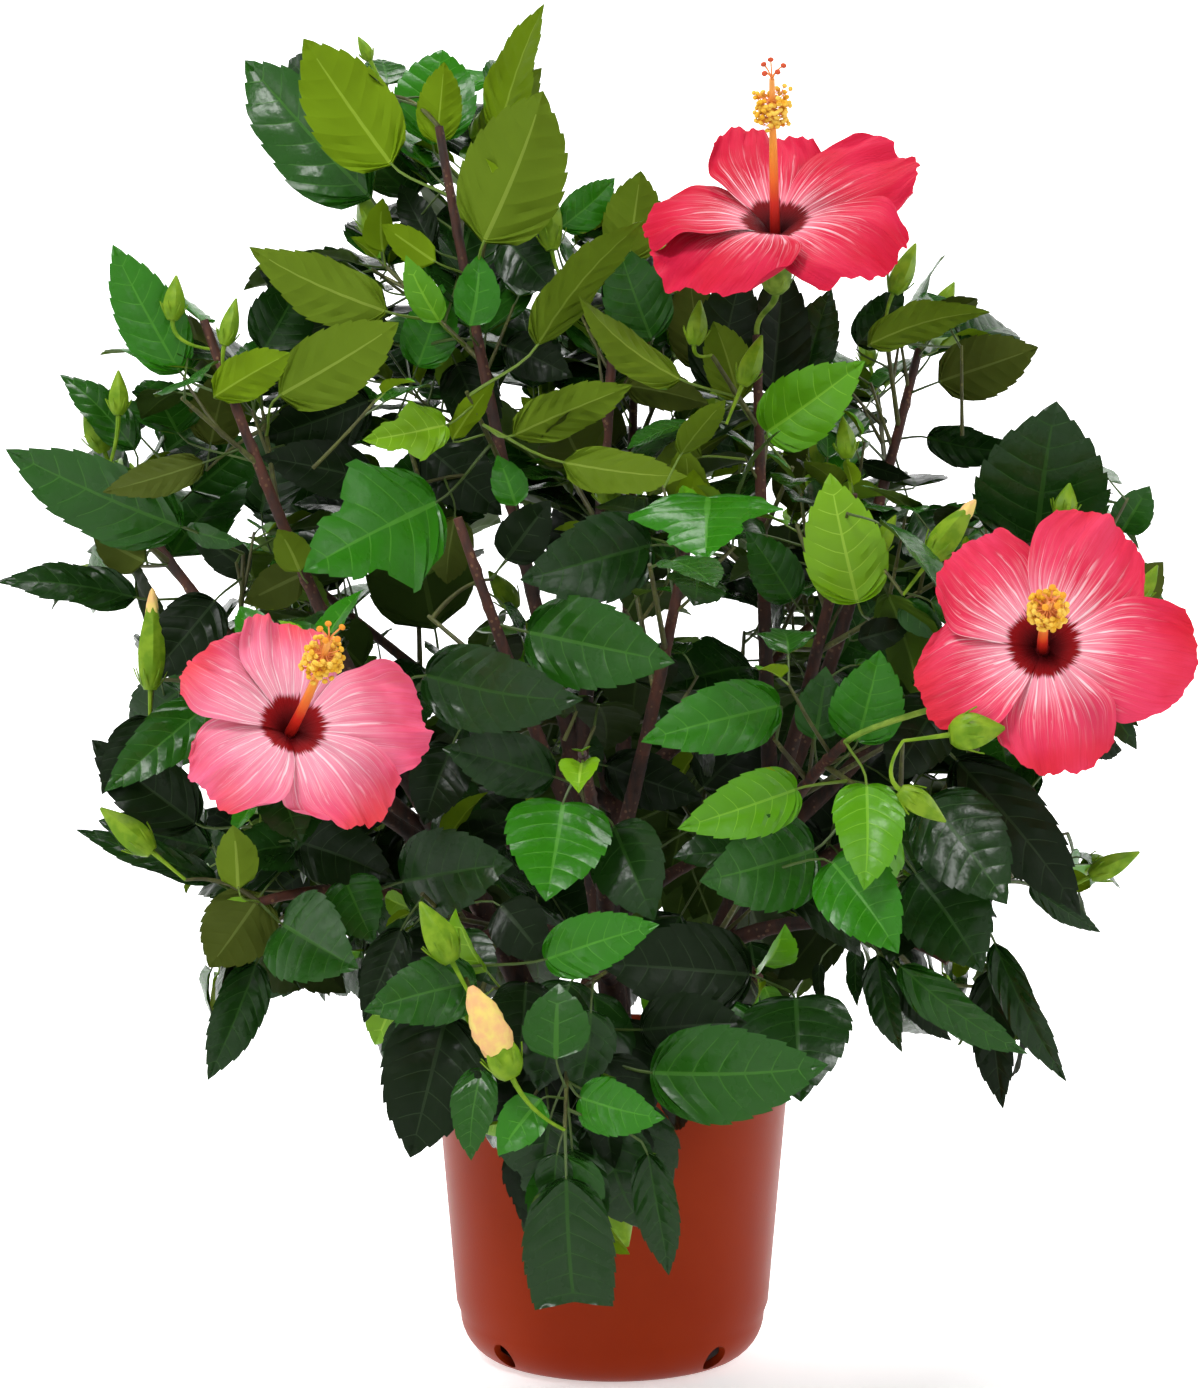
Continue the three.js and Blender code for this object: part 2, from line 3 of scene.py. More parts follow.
import bpy
import numpy as np
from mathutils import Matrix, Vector


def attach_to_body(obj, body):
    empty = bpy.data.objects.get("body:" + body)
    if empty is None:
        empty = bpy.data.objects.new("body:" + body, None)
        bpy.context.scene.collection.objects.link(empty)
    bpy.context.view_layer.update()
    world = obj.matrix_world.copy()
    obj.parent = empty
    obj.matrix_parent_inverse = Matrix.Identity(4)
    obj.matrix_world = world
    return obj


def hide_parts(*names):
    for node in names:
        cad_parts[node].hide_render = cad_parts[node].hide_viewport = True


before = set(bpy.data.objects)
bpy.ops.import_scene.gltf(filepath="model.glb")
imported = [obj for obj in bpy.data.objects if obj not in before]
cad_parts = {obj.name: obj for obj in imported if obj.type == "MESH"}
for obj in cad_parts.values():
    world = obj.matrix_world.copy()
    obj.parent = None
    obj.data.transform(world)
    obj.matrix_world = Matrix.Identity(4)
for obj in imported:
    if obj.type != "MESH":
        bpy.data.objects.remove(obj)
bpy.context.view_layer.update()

# Lengths are in millimetres up to the point where a mesh is made, and z = 0 is the floor under the pot.
mm = 0.001
up = np.array([0.0, 0.0, 1.0])
goldenAngle = 2.39996
print("frame loaded:", len(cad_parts), "nodes")


# Small tools for vectors, curves and seeded numbers.

def unit(vector):
    return vector / np.linalg.norm(vector)


def mapRange(value, low, high, first, last):
    return first + (value - low) * (last - first) / (high - low)


def clamp(value, low=0.0, high=1.0):
    return max(low, min(high, value))


def smooth(low, high, value):
    share = np.clip((value - low) / (high - low), 0, 1)
    return share * share * (3 - 2 * share)


class RandomStream:
    def __init__(self, seed):
        self.state = seed * 7919 + 13

    def __call__(self, low=0.0, high=1.0):
        self.state = (self.state * 1664525 + 1013904223) % 4294967296
        return low + (high - low) * self.state / 4294967296


class Curve:  # a Bezier curve through its first and last point: 2 points make a line, 3 an arc, 4 an S
    def __init__(self, *points):
        self.points = np.array(points, float)

    def at(self, t):
        row = self.points
        while len(row) > 1:
            row = row[:-1] + (row[1:] - row[:-1]) * t
        return row[0]

    def tangent(self, t):
        low, high = max(0.0, t - 1e-4), min(1.0, t + 1e-4)
        return unit(self.at(high) - self.at(low))

    def length(self):
        places = np.array([self.at(t) for t in np.linspace(0, 1, 41)])
        return float(np.linalg.norm(np.diff(places, axis=0), axis=1).sum())


def squareTo(axis, like=None):  # two directions square to the axis, the first one nearest to like
    if like is None:
        like = up if abs(axis[2]) < 0.9 else np.array([1.0, 0.0, 0.0])
    other = unit(np.cross(axis, like))
    return np.cross(other, axis), other


def around(side, other, angle):
    return side * math.cos(angle) + other * math.sin(angle)


def turnAbout(vector, axis, angle):
    cos, sin = math.cos(angle), math.sin(angle)
    return vector * cos + np.cross(axis, vector) * sin + axis * np.dot(axis, vector) * (1 - cos)


# The plant's plan, the same as in the solid model: stems, the masses that they carry, and the large flowers.

pot = {
    "height": 205, "rimRadius": 116, "footRadius": 100, "footHeight": 30, "baseRadius": 76,
    "wall": 2.5, "floor": 3, "lip": 3.5, "lipDepth": 10,
    "holes": 4, "firstHole": 43, "holeRadius": 8, "holeHeight": 13,
}
soil = {"top": 184, "dome": 5}
fit = 0.3
bark = {"stemFoot": 9, "stemTop": 6.5, "flare": 4, "bough": 5.5, "boughTip": 4.2, "spineTip": 2.8}
twig = {
    "length": 105, "radius": 1.9, "tipRadius": 1.3, "leastLength": 35, "forward": 0.62, "outward": 0.78,
}
shorten = 0.8  # a twig without room is tried again at this share of its length
crown = {"left": -388, "right": 374, "front": -330, "back": 330, "top": 872, "bottom": 196}
spaceGap = 1.5
slack = {"fineTwig": 10, "leaf": 14, "bud": 20, "young": 26}  # how far each may pass its mass's space
potClearance = {"above": 14, "beside": 12}
rootReach = 16  # a twig or leaf may touch what it grows on this close to its root
most = {"obstacles": 20000, "blades": 4000}

stems = {
    "centre": {"foot": (6, 10), "top": (-28, 12, 400)},
    "left": {"foot": (-38, -6), "top": (-118, -28, 350)},
    "right": {"foot": (42, -4), "top": (104, -22, 350)},
    "front": {"foot": (2, -42), "top": (-4, -92, 305)},
    "back": {"foot": (2, 50), "top": (8, 118, 380)},
}

# name, stem, where the bough starts on it, tip, bare share, reach, twigs, buds, lowest point
masses = [
    ("leader", "centre", 1, (-112, -6, 792), 0.36, 200, 6, 2, None),
    ("top_centre", "centre", 0.86, (4, 0, 712), 0.5, 150, 4, 2, None),
    ("top_right", "right", 0.97, (92, -24, 655), 0.5, 150, 4, 1, None),
    ("right_high", "right", 1, (204, 46, 655), 0.55, 150, 4, 2, None),
    ("right_middle", "right", 0.9, (146, -104, 548), 0.45, 140, 4, 1, None),
    ("right_far", "right", 0.83, (292, -20, 560), 0.5, 150, 4, 1, None),
    ("right_side", "right", 0.6, (276, 16, 362), 0.45, 150, 3, 1, None),
    ("right_front", "right", 0.72, (134, -182, 398), 0.48, 140, 3, 2, None),
    ("low_right", "right", 0.46, (206, -86, 262), 0.42, 150, 4, 0, 160),
    ("centre_right", "front", 0.98, (46, -156, 528), 0.42, 140, 4, 0, None),
    ("centre_left", "front", 1, (-92, -150, 530), 0.42, 140, 4, 0, None),
    ("centre_low", "front", 0.85, (-18, -206, 392), 0.38, 130, 4, 0, None),
    ("front_low", "front", 0.5, (-26, -214, 226), 0.34, 140, 4, 1, 72),
    ("front_low_left", "front", 0.66, (-122, -168, 262), 0.4, 140, 4, 1, 150),
    ("front_low_right", "front", 0.6, (84, -186, 262), 0.4, 140, 4, 0, 150),
    ("low_left", "left", 0.5, (-214, -112, 300), 0.42, 150, 4, 1, None),
    ("left_front", "left", 0.74, (-216, -138, 396), 0.45, 140, 3, 1, None),
    ("left_high", "left", 1, (-256, -56, 660), 0.45, 150, 5, 2, None),
    ("left_far", "left", 0.86, (-322, 6, 560), 0.48, 150, 4, 2, None),
    ("left_back", "back", 0.82, (-206, 150, 500), 0.48, 160, 3, 1, None),
    ("back_high", "back", 1, (16, 138, 650), 0.42, 160, 4, 1, None),
    ("right_back", "back", 0.9, (168, 186, 500), 0.48, 160, 4, 1, None),
    ("back_left_low", "back", 0.55, (-168, 176, 318), 0.42, 160, 3, 0, None),
    ("back_middle", "back", 0.7, (-22, 244, 430), 0.44, 160, 4, 1, None),
    ("back_right_low", "back", 0.45, (118, 204, 312), 0.42, 160, 3, 0, None),
]
massFields = ("name", "stem", "start", "tip", "bare", "reach", "twigs", "buds", "lowest")
masses = [dict(zip(massFields, row)) for row in masses]

blooms = [
    {"name": "bloom_left", "mass": "left_front", "centre": (-180, -222, 410), "axis": (0.3, -0.82, 0.48),
     "turn": -13, "size": 0.92},
    {"name": "bloom_right", "mass": "right_front", "centre": (240, -232, 455), "axis": (-0.12, -0.95, 0.28),
     "turn": 42, "size": 1.0},
    {"name": "bloom_top", "mass": "top_right", "centre": (99, -92, 720), "axis": (-0.06, -0.62, 0.78),
     "turn": 12, "size": 1.04},
]
flower = {"throat": 52, "column": 96, "columnRadius": 2.4, "antherRadius": 9, "stalkRadius": 1.9}


def wallRadius(z):
    return mapRange(z, pot["footHeight"], pot["height"], pot["footRadius"], pot["rimRadius"])


for stem in stems.values():
    start = np.array([*stem["foot"], soil["top"] + soil["dome"] + fit], float)
    end = np.array(stem["top"], float)
    middle = (start + end) / 2
    middle[:2] -= (end - start)[:2] * 0.12
    stem["curve"] = Curve(start, middle, end)

for mass in masses:
    start = stems[mass["stem"]]["curve"].at(mass["start"])
    tip = np.array(mass["tip"], float)
    middle = (start + tip) / 2
    middle[2] += np.linalg.norm(tip - start) * clamp(mapRange(tip[2], 220, 560, 0.3, -0.12), -0.12, 0.3)
    mass["curve"] = Curve(start, middle, tip)
    mass["middle"] = mass["curve"].at(mass["bare"] + 0.72 * (1 - mass["bare"]))
massMiddles = np.array([mass["middle"] for mass in masses])


def bloomFrame(bloom):
    axis = unit(np.array(bloom["axis"], float))
    side, other = squareTo(axis)
    return axis, side, other, np.array(bloom["centre"], float), bloom["size"]


def petalDirection(side, other, turn, index):
    return around(side, other, math.radians(turn + index * 72))


def stalkCurve(bloom):
    axis, _, _, centre, size = bloomFrame(bloom)
    mass = next(mass for mass in masses if mass["name"] == bloom["mass"])
    tangent = mass["curve"].tangent(1)
    start = mass["curve"].at(1) + tangent * 2 * fit
    calyx = centre - axis * flower["throat"] * size
    reach = np.linalg.norm(calyx - start)
    return Curve(start, start + tangent * reach * 0.4, calyx - axis * reach * 0.35, calyx + axis * 2)


# The space that each mass keeps to, and what a twig or leaf must miss.

def insideSpace(index, points, slack=0.0):
    points = np.atleast_2d(points)
    mass = masses[index]
    fromAxis = np.hypot(points[:, 0], points[:, 1])
    besidePot = points[:, 2] < pot["height"] + potClearance["above"]
    besidePot &= fromAxis < pot["rimRadius"] + potClearance["beside"]
    lowest = crown["bottom"] if mass["lowest"] is None else mass["lowest"]
    inside = ~besidePot & (np.linalg.norm(points - mass["middle"], axis=1) < mass["reach"] + slack)
    inside &= (points[:, 2] > lowest) & (points[:, 2] < crown["top"])
    inside &= (points[:, 0] > crown["left"]) & (points[:, 0] < crown["right"])
    inside &= (points[:, 1] > crown["front"]) & (points[:, 1] < crown["back"])
    others = np.delete(massMiddles, index, axis=0)
    apart = others - mass["middle"]
    apart /= np.linalg.norm(apart, axis=1)[:, None]
    across = ((others + mass["middle"]) / 2)[None] - points[:, None]
    return bool((inside & ((across * apart[None]).sum(axis=2) > spaceGap - slack).all(axis=1)).all())


class Obstacles:  # points on limbs and flowers with their radii
    def __init__(self):
        self.points = np.zeros((most["obstacles"], 3))
        self.radii = np.zeros(most["obstacles"])
        self.count = 0

    def add(self, point, radius):
        self.points[self.count] = point
        self.radii[self.count] = radius
        self.count += 1

    def addCurve(self, curve, first, last, radius):
        steps = math.ceil(curve.length() / 6)
        for i in range(steps + 1):
            self.add(curve.at(first + (last - first) * i / steps), radius)

    def clearOf(self, start, end, thick):
        points, radii = self.points[:self.count], self.radii[:self.count]
        line = end - start
        share = np.clip(((points - start) @ line) / (line @ line), 0, 1)
        away = np.linalg.norm(points - (start + share[:, None] * line), axis=1)
        near = np.linalg.norm(points - start, axis=1) < rootReach
        return bool((near | (away > radii + thick + 1)).all())


guard = {"turns": (-24, 0, 24), "radii": (25, 50, 75), "petal": 8, "viewHeight": 55, "view": 22}
obstacles = Obstacles()
for stem in stems.values():
    obstacles.addCurve(stem["curve"], 0, 1, bark["stemFoot"])
for mass in masses:
    obstacles.addCurve(mass["curve"], 0, 1, bark["bough"])
for bloom in blooms:  # leaves keep off the flowers, and off the view into each of them
    axis, side, other, centre, size = bloomFrame(bloom)
    for index in range(5):
        for turn in guard["turns"]:
            out = petalDirection(side, other, bloom["turn"] + turn, index)
            for radius in guard["radii"]:
                obstacles.add(centre + out * radius * size + axis * 3, guard["petal"])
                obstacles.add(centre + out * radius * size * 0.9 + axis * guard["viewHeight"], guard["view"])
    for height in np.arange(-flower["throat"], flower["column"] + 0.1, 8):
        obstacles.add(centre + axis * height, flower["antherRadius"] + 3)
    obstacles.addCurve(stalkCurve(bloom), 0, 1, 4)


# Twigs branch off each mass's main shoot as in the solid model.

def growTwigs(index, random):
    mass = masses[index]
    made = [{"curve": mass["curve"], "from": mass["bare"], "radius": bark["boughTip"],
             "tipRadius": bark["spineTip"], "kind": "spine"}]
    turn = random() * 2 * math.pi
    for i in range(mass["twigs"]):
        t = mass["bare"] + (1 - mass["bare"]) * (0.08 + 0.8 * i / mass["twigs"])
        start, axis = mass["curve"].at(t), mass["curve"].tangent(t)
        side, other = squareTo(axis)
        heading = unit(axis * twig["forward"] + around(side, other, turn + i * goldenAngle) * twig["outward"])
        heading[2] += mapRange(start[2], 250, 600, -0.1, 0.35)
        heading = unit(heading)
        length = twig["length"] * (1 - 0.35 * i / mass["twigs"]) * (0.85 + 0.3 * random())

        def isFree(end):
            return insideSpace(index, end) and obstacles.clearOf(start, end, twig["radius"] + fit)

        while length > twig["leastLength"] and not isFree(start + heading * (length + 8)):
            length *= shorten
        if length <= twig["leastLength"]:
            continue
        curve = Curve(start, start + heading * length)
        made.append({"curve": curve, "from": 0, "radius": twig["radius"], "tipRadius": twig["tipRadius"],
                     "kind": "twig"})
        obstacles.addCurve(curve, 0.12, 1, twig["radius"])
    return made


for index, mass in enumerate(masses):
    mass["shoots"] = growTwigs(index, RandomStream(index + 1))
print("main twigs:", sum(len(mass["shoots"]) for mass in masses))


# Leaves: where each one goes. A blade is a record of its place, its directions and its size.

leaf = {
    "length": 106, "halfWidth": 0.4, "petiole": 0.36, "sag": 0.1, "petioleRadius": 1.0,
    "spacing": 17, "clearance": 1.2, "attempts": 8,
}

# What shows from the front is placed in one front view, seen level from this eye: units across from the
# view's left edge and down from its top. frontUnit is the size of a unit in the plane through the pot's
# middle, and a unit is smaller nearer the eye.
frontView = np.array([-8.0, -1700.0, 426.0])
frontUnit = 0.647
viewMiddle = {"across": 600, "down": 694}


def unitAt(depth):
    return frontUnit * (depth - frontView[1]) / -frontView[1]


def fromFront(across, down, depth=0.0):
    x = frontView[0] + (across - viewMiddle["across"]) * unitAt(depth)
    return np.array([x, depth, frontView[2] + (viewMiddle["down"] - down) * unitAt(depth)])


def ovalsFromFront(rows):
    return np.array([(*fromFront(across, down)[[0, 2]], halfWidth * frontUnit, halfHeight * frontUnit)
                     for across, down, halfWidth, halfHeight in rows])


# Grown leaves stay inside this outline and leave the openings clear.
frontOutline = np.array([fromFront(across, down)[[0, 2]] for across, down in (
    (247, 60), (300, 36), (360, 34), (410, 60), (440, 50), (480, 70), (500, 20), (543, 3), (540, 60),
    (565, 110), (544, 144), (513, 182), (510, 206), (544, 224), (575, 209), (603, 184), (640, 170),
    (665, 230), (700, 300), (850, 320), (885, 240), (925, 243), (985, 290), (1040, 330), (1027, 356),
    (983, 376), (943, 386), (940, 407), (965, 410), (1002, 425), (1023, 450), (1036, 425), (1051, 403),
    (1110, 470), (1152, 486), (1150, 560), (1170, 620), (1160, 700), (1145, 750), (1064, 767), (1017, 768),
    (1047, 818), (1090, 849), (1145, 860), (1101, 924), (1044, 890), (1020, 890), (993, 948), (1064, 1033),
    (1070, 1080), (1000, 1102), (950, 1050), (895, 1056), (850, 1010), (830, 1090), (790, 1110),
    (690, 1135), (680, 1270), (612, 1312), (525, 1312), (515, 1180), (440, 1160), (415, 1152), (375, 1060),
    (362, 1010), (250, 1000), (208, 1080), (192, 1030), (200, 900), (70, 845), (95, 780), (130, 690),
    (135, 610), (5, 605), (5, 570), (80, 540), (18, 450), (90, 430), (62, 372), (150, 390), (105, 330),
    (103, 250), (200, 290), (235, 290), (255, 243), (319, 227), (373, 206), (337, 182), (296, 145),
    (260, 107),
)])
openings = ovalsFromFront([  # place and half sizes of the gaps through which the background shows
    (610, 600, 20, 12), (725, 620, 30, 18), (735, 650, 26, 10), (665, 615, 14, 10), (760, 495, 22, 14),
    (520, 520, 16, 14), (455, 605, 32, 22), (535, 590, 23, 19), (230, 480, 18, 10), (225, 515, 18, 9),
    (170, 545, 10, 10), (170, 580, 30, 14), (225, 585, 16, 14), (605, 750, 8, 12), (608, 800, 6, 8),
    (925, 430, 30, 26), (960, 490, 40, 10), (905, 400, 12, 20), (880, 330, 14, 30), (815, 380, 10, 12),
    (655, 415, 26, 7), (705, 350, 8, 22), (570, 370, 12, 8), (505, 395, 12, 5), (560, 240, 6, 8),
    (800, 640, 10, 8), (885, 640, 20, 10), (385, 610, 15, 12), (400, 650, 19, 12), (650, 885, 8, 4),
    (505, 905, 8, 6), (860, 740, 8, 6), (640, 540, 8, 8), (395, 190, 10, 8), (240, 375, 8, 8),
    (150, 420, 12, 8), (275, 870, 8, 6), (985, 930, 16, 14), (840, 990, 10, 12), (875, 1000, 8, 12),
    (270, 385, 6, 8),
])
bareWood = ovalsFromFront([  # leaves here stand only behind the limbs
    (440, 250, 9, 40), (450, 340, 11, 45), (455, 420, 11, 40), (470, 500, 13, 50), (476, 575, 9, 25),
    (230, 430, 9, 30), (243, 480, 8, 30), (262, 530, 9, 25), (290, 580, 10, 25), (182, 560, 8, 20),
    (200, 600, 8, 30), (818, 330, 12, 40), (868, 425, 9, 30), (832, 640, 8, 30), (820, 790, 8, 40),
    (725, 440, 8, 30), (602, 370, 9, 25), (830, 940, 20, 10),
])


def seenFromFront(points):
    scale = -frontView[1] / (points[:, 1] - frontView[1])
    return np.stack([frontView[0] + (points[:, 0] - frontView[0]) * scale,
                     frontView[2] + (points[:, 2] - frontView[2]) * scale], axis=1)


def insideOutline(places):
    after = np.roll(frontOutline, -1, axis=0)
    x, z = places[:, 0:1], places[:, 1:2]
    spans = (frontOutline[None, :, 1] > z) != (after[None, :, 1] > z)
    rise = after[:, 1] - frontOutline[:, 1]
    rise[rise == 0] = 1e-9
    crossing = frontOutline[:, 0] + (z - frontOutline[:, 1]) * (after[:, 0] - frontOutline[:, 0]) / rise
    return (spans & (x < crossing)).sum(axis=1) % 2 == 1


def inAny(places, ovals, grow=1.0):
    reach = ((places[:, None, 0] - ovals[:, 0]) / (ovals[:, 2] * grow)) ** 2
    reach = reach + ((places[:, None, 1] - ovals[:, 1]) / (ovals[:, 3] * grow)) ** 2
    return (reach < 1).any(axis=1)


def keepsFrontOpen(points, middleOfWood=0.0):
    places = seenFromFront(points)
    if not insideOutline(places).all() or inAny(places, openings, 1.15).any():
        return False
    return not (inAny(places, bareWood, 1.3) & (points[:, 1] < middleOfWood)).any()


def crossesOpening(start, end):
    return inAny(seenFromFront(np.linspace(start, end, 7)[1:]), openings).any()


# Where a blade is tested, as shares of its length and of its half width. Two places on its stalk and its tip
# are added to these.
samplePlaces = ((0, 0), (0.36, 0), (0.36, 1), (0.36, -1), (0.7, 0), (0.7, 0.5), (0.7, -0.5))


class Blades:
    def __init__(self):
        self.records = []
        self.places = {key: np.zeros((most["blades"], 3)) for key in ("base", "ahead", "side", "normal")}
        self.sizes = np.zeros((most["blades"], 2))
        self.samples = np.zeros((most["blades"], len(samplePlaces) + 3, 3))

    def add(self, blade):
        number = len(self.records)
        for key, rows in self.places.items():
            rows[number] = blade[key]
        self.sizes[number] = blade["length"], blade["halfWidth"]
        self.samples[number] = blade["samples"]
        self.records.append(blade)

    def hitBy(self, blade):
        number = len(self.records)
        if not number:
            return False
        rows = {key: value[:number] for key, value in self.places.items()}
        away = blade["samples"][None] - rows["base"][:, None]
        along = (away * rows["ahead"][:, None]).sum(axis=2)
        across = np.abs((away * rows["side"][:, None]).sum(axis=2))
        off = np.abs((away * rows["normal"][:, None]).sum(axis=2))
        length, half = self.sizes[:number, 0:1], self.sizes[:number, 1:2]
        wide = across < bladeWidth(along, length, half)
        if ((along > 0) & (along < length) & wide & (off < leaf["clearance"])).any():
            return True
        return bool(touches(blade, self.samples[:number].reshape(-1, 3), 0, leaf["clearance"]).any())

    def piercedBy(self, start, end):
        points = np.array([start + (end - start) * t for t in (0.3, 0.5, 0.7, 0.9, 1.05)])
        return any(touches(blade, points, 0, 3.0).any() for blade in self.records)


def bladeWidth(along, length, half):  # narrower towards the tip
    return np.where(along > 0.65 * length, 0.6, 0.92) * half


def touches(blade, points, radii, clearance):
    away = points - blade["base"]
    along, across, off = away @ blade["ahead"], np.abs(away @ blade["side"]), np.abs(away @ blade["normal"])
    width = bladeWidth(along, blade["length"], blade["halfWidth"])
    return (along > -radii) & (along < blade["length"] + radii) & (across < width + radii) & (
        off < radii + clearance)


def addSamples(blade):
    base, ahead, side = blade["base"], blade["ahead"], blade["side"]
    points = [base + ahead * a * blade["length"] + side * s * blade["halfWidth"] for a, s in samplePlaces]
    tip = base + ahead * blade["length"] - blade["normal"] * leaf["sag"] * blade["length"]
    stalk = base - blade["node"]
    blade["samples"] = np.array([blade["node"] + stalk * 0.35, blade["node"] + stalk * 0.7, *points, tip])
    return blade


def bladeRecord(node, stalk, base, ahead, normal, length, halfWidth, **more):
    return addSamples({
        "node": node, "stalk": stalk, "base": base, "ahead": ahead, "normal": normal,
        "side": np.cross(normal, ahead), "length": length, "halfWidth": halfWidth, **more,
    })
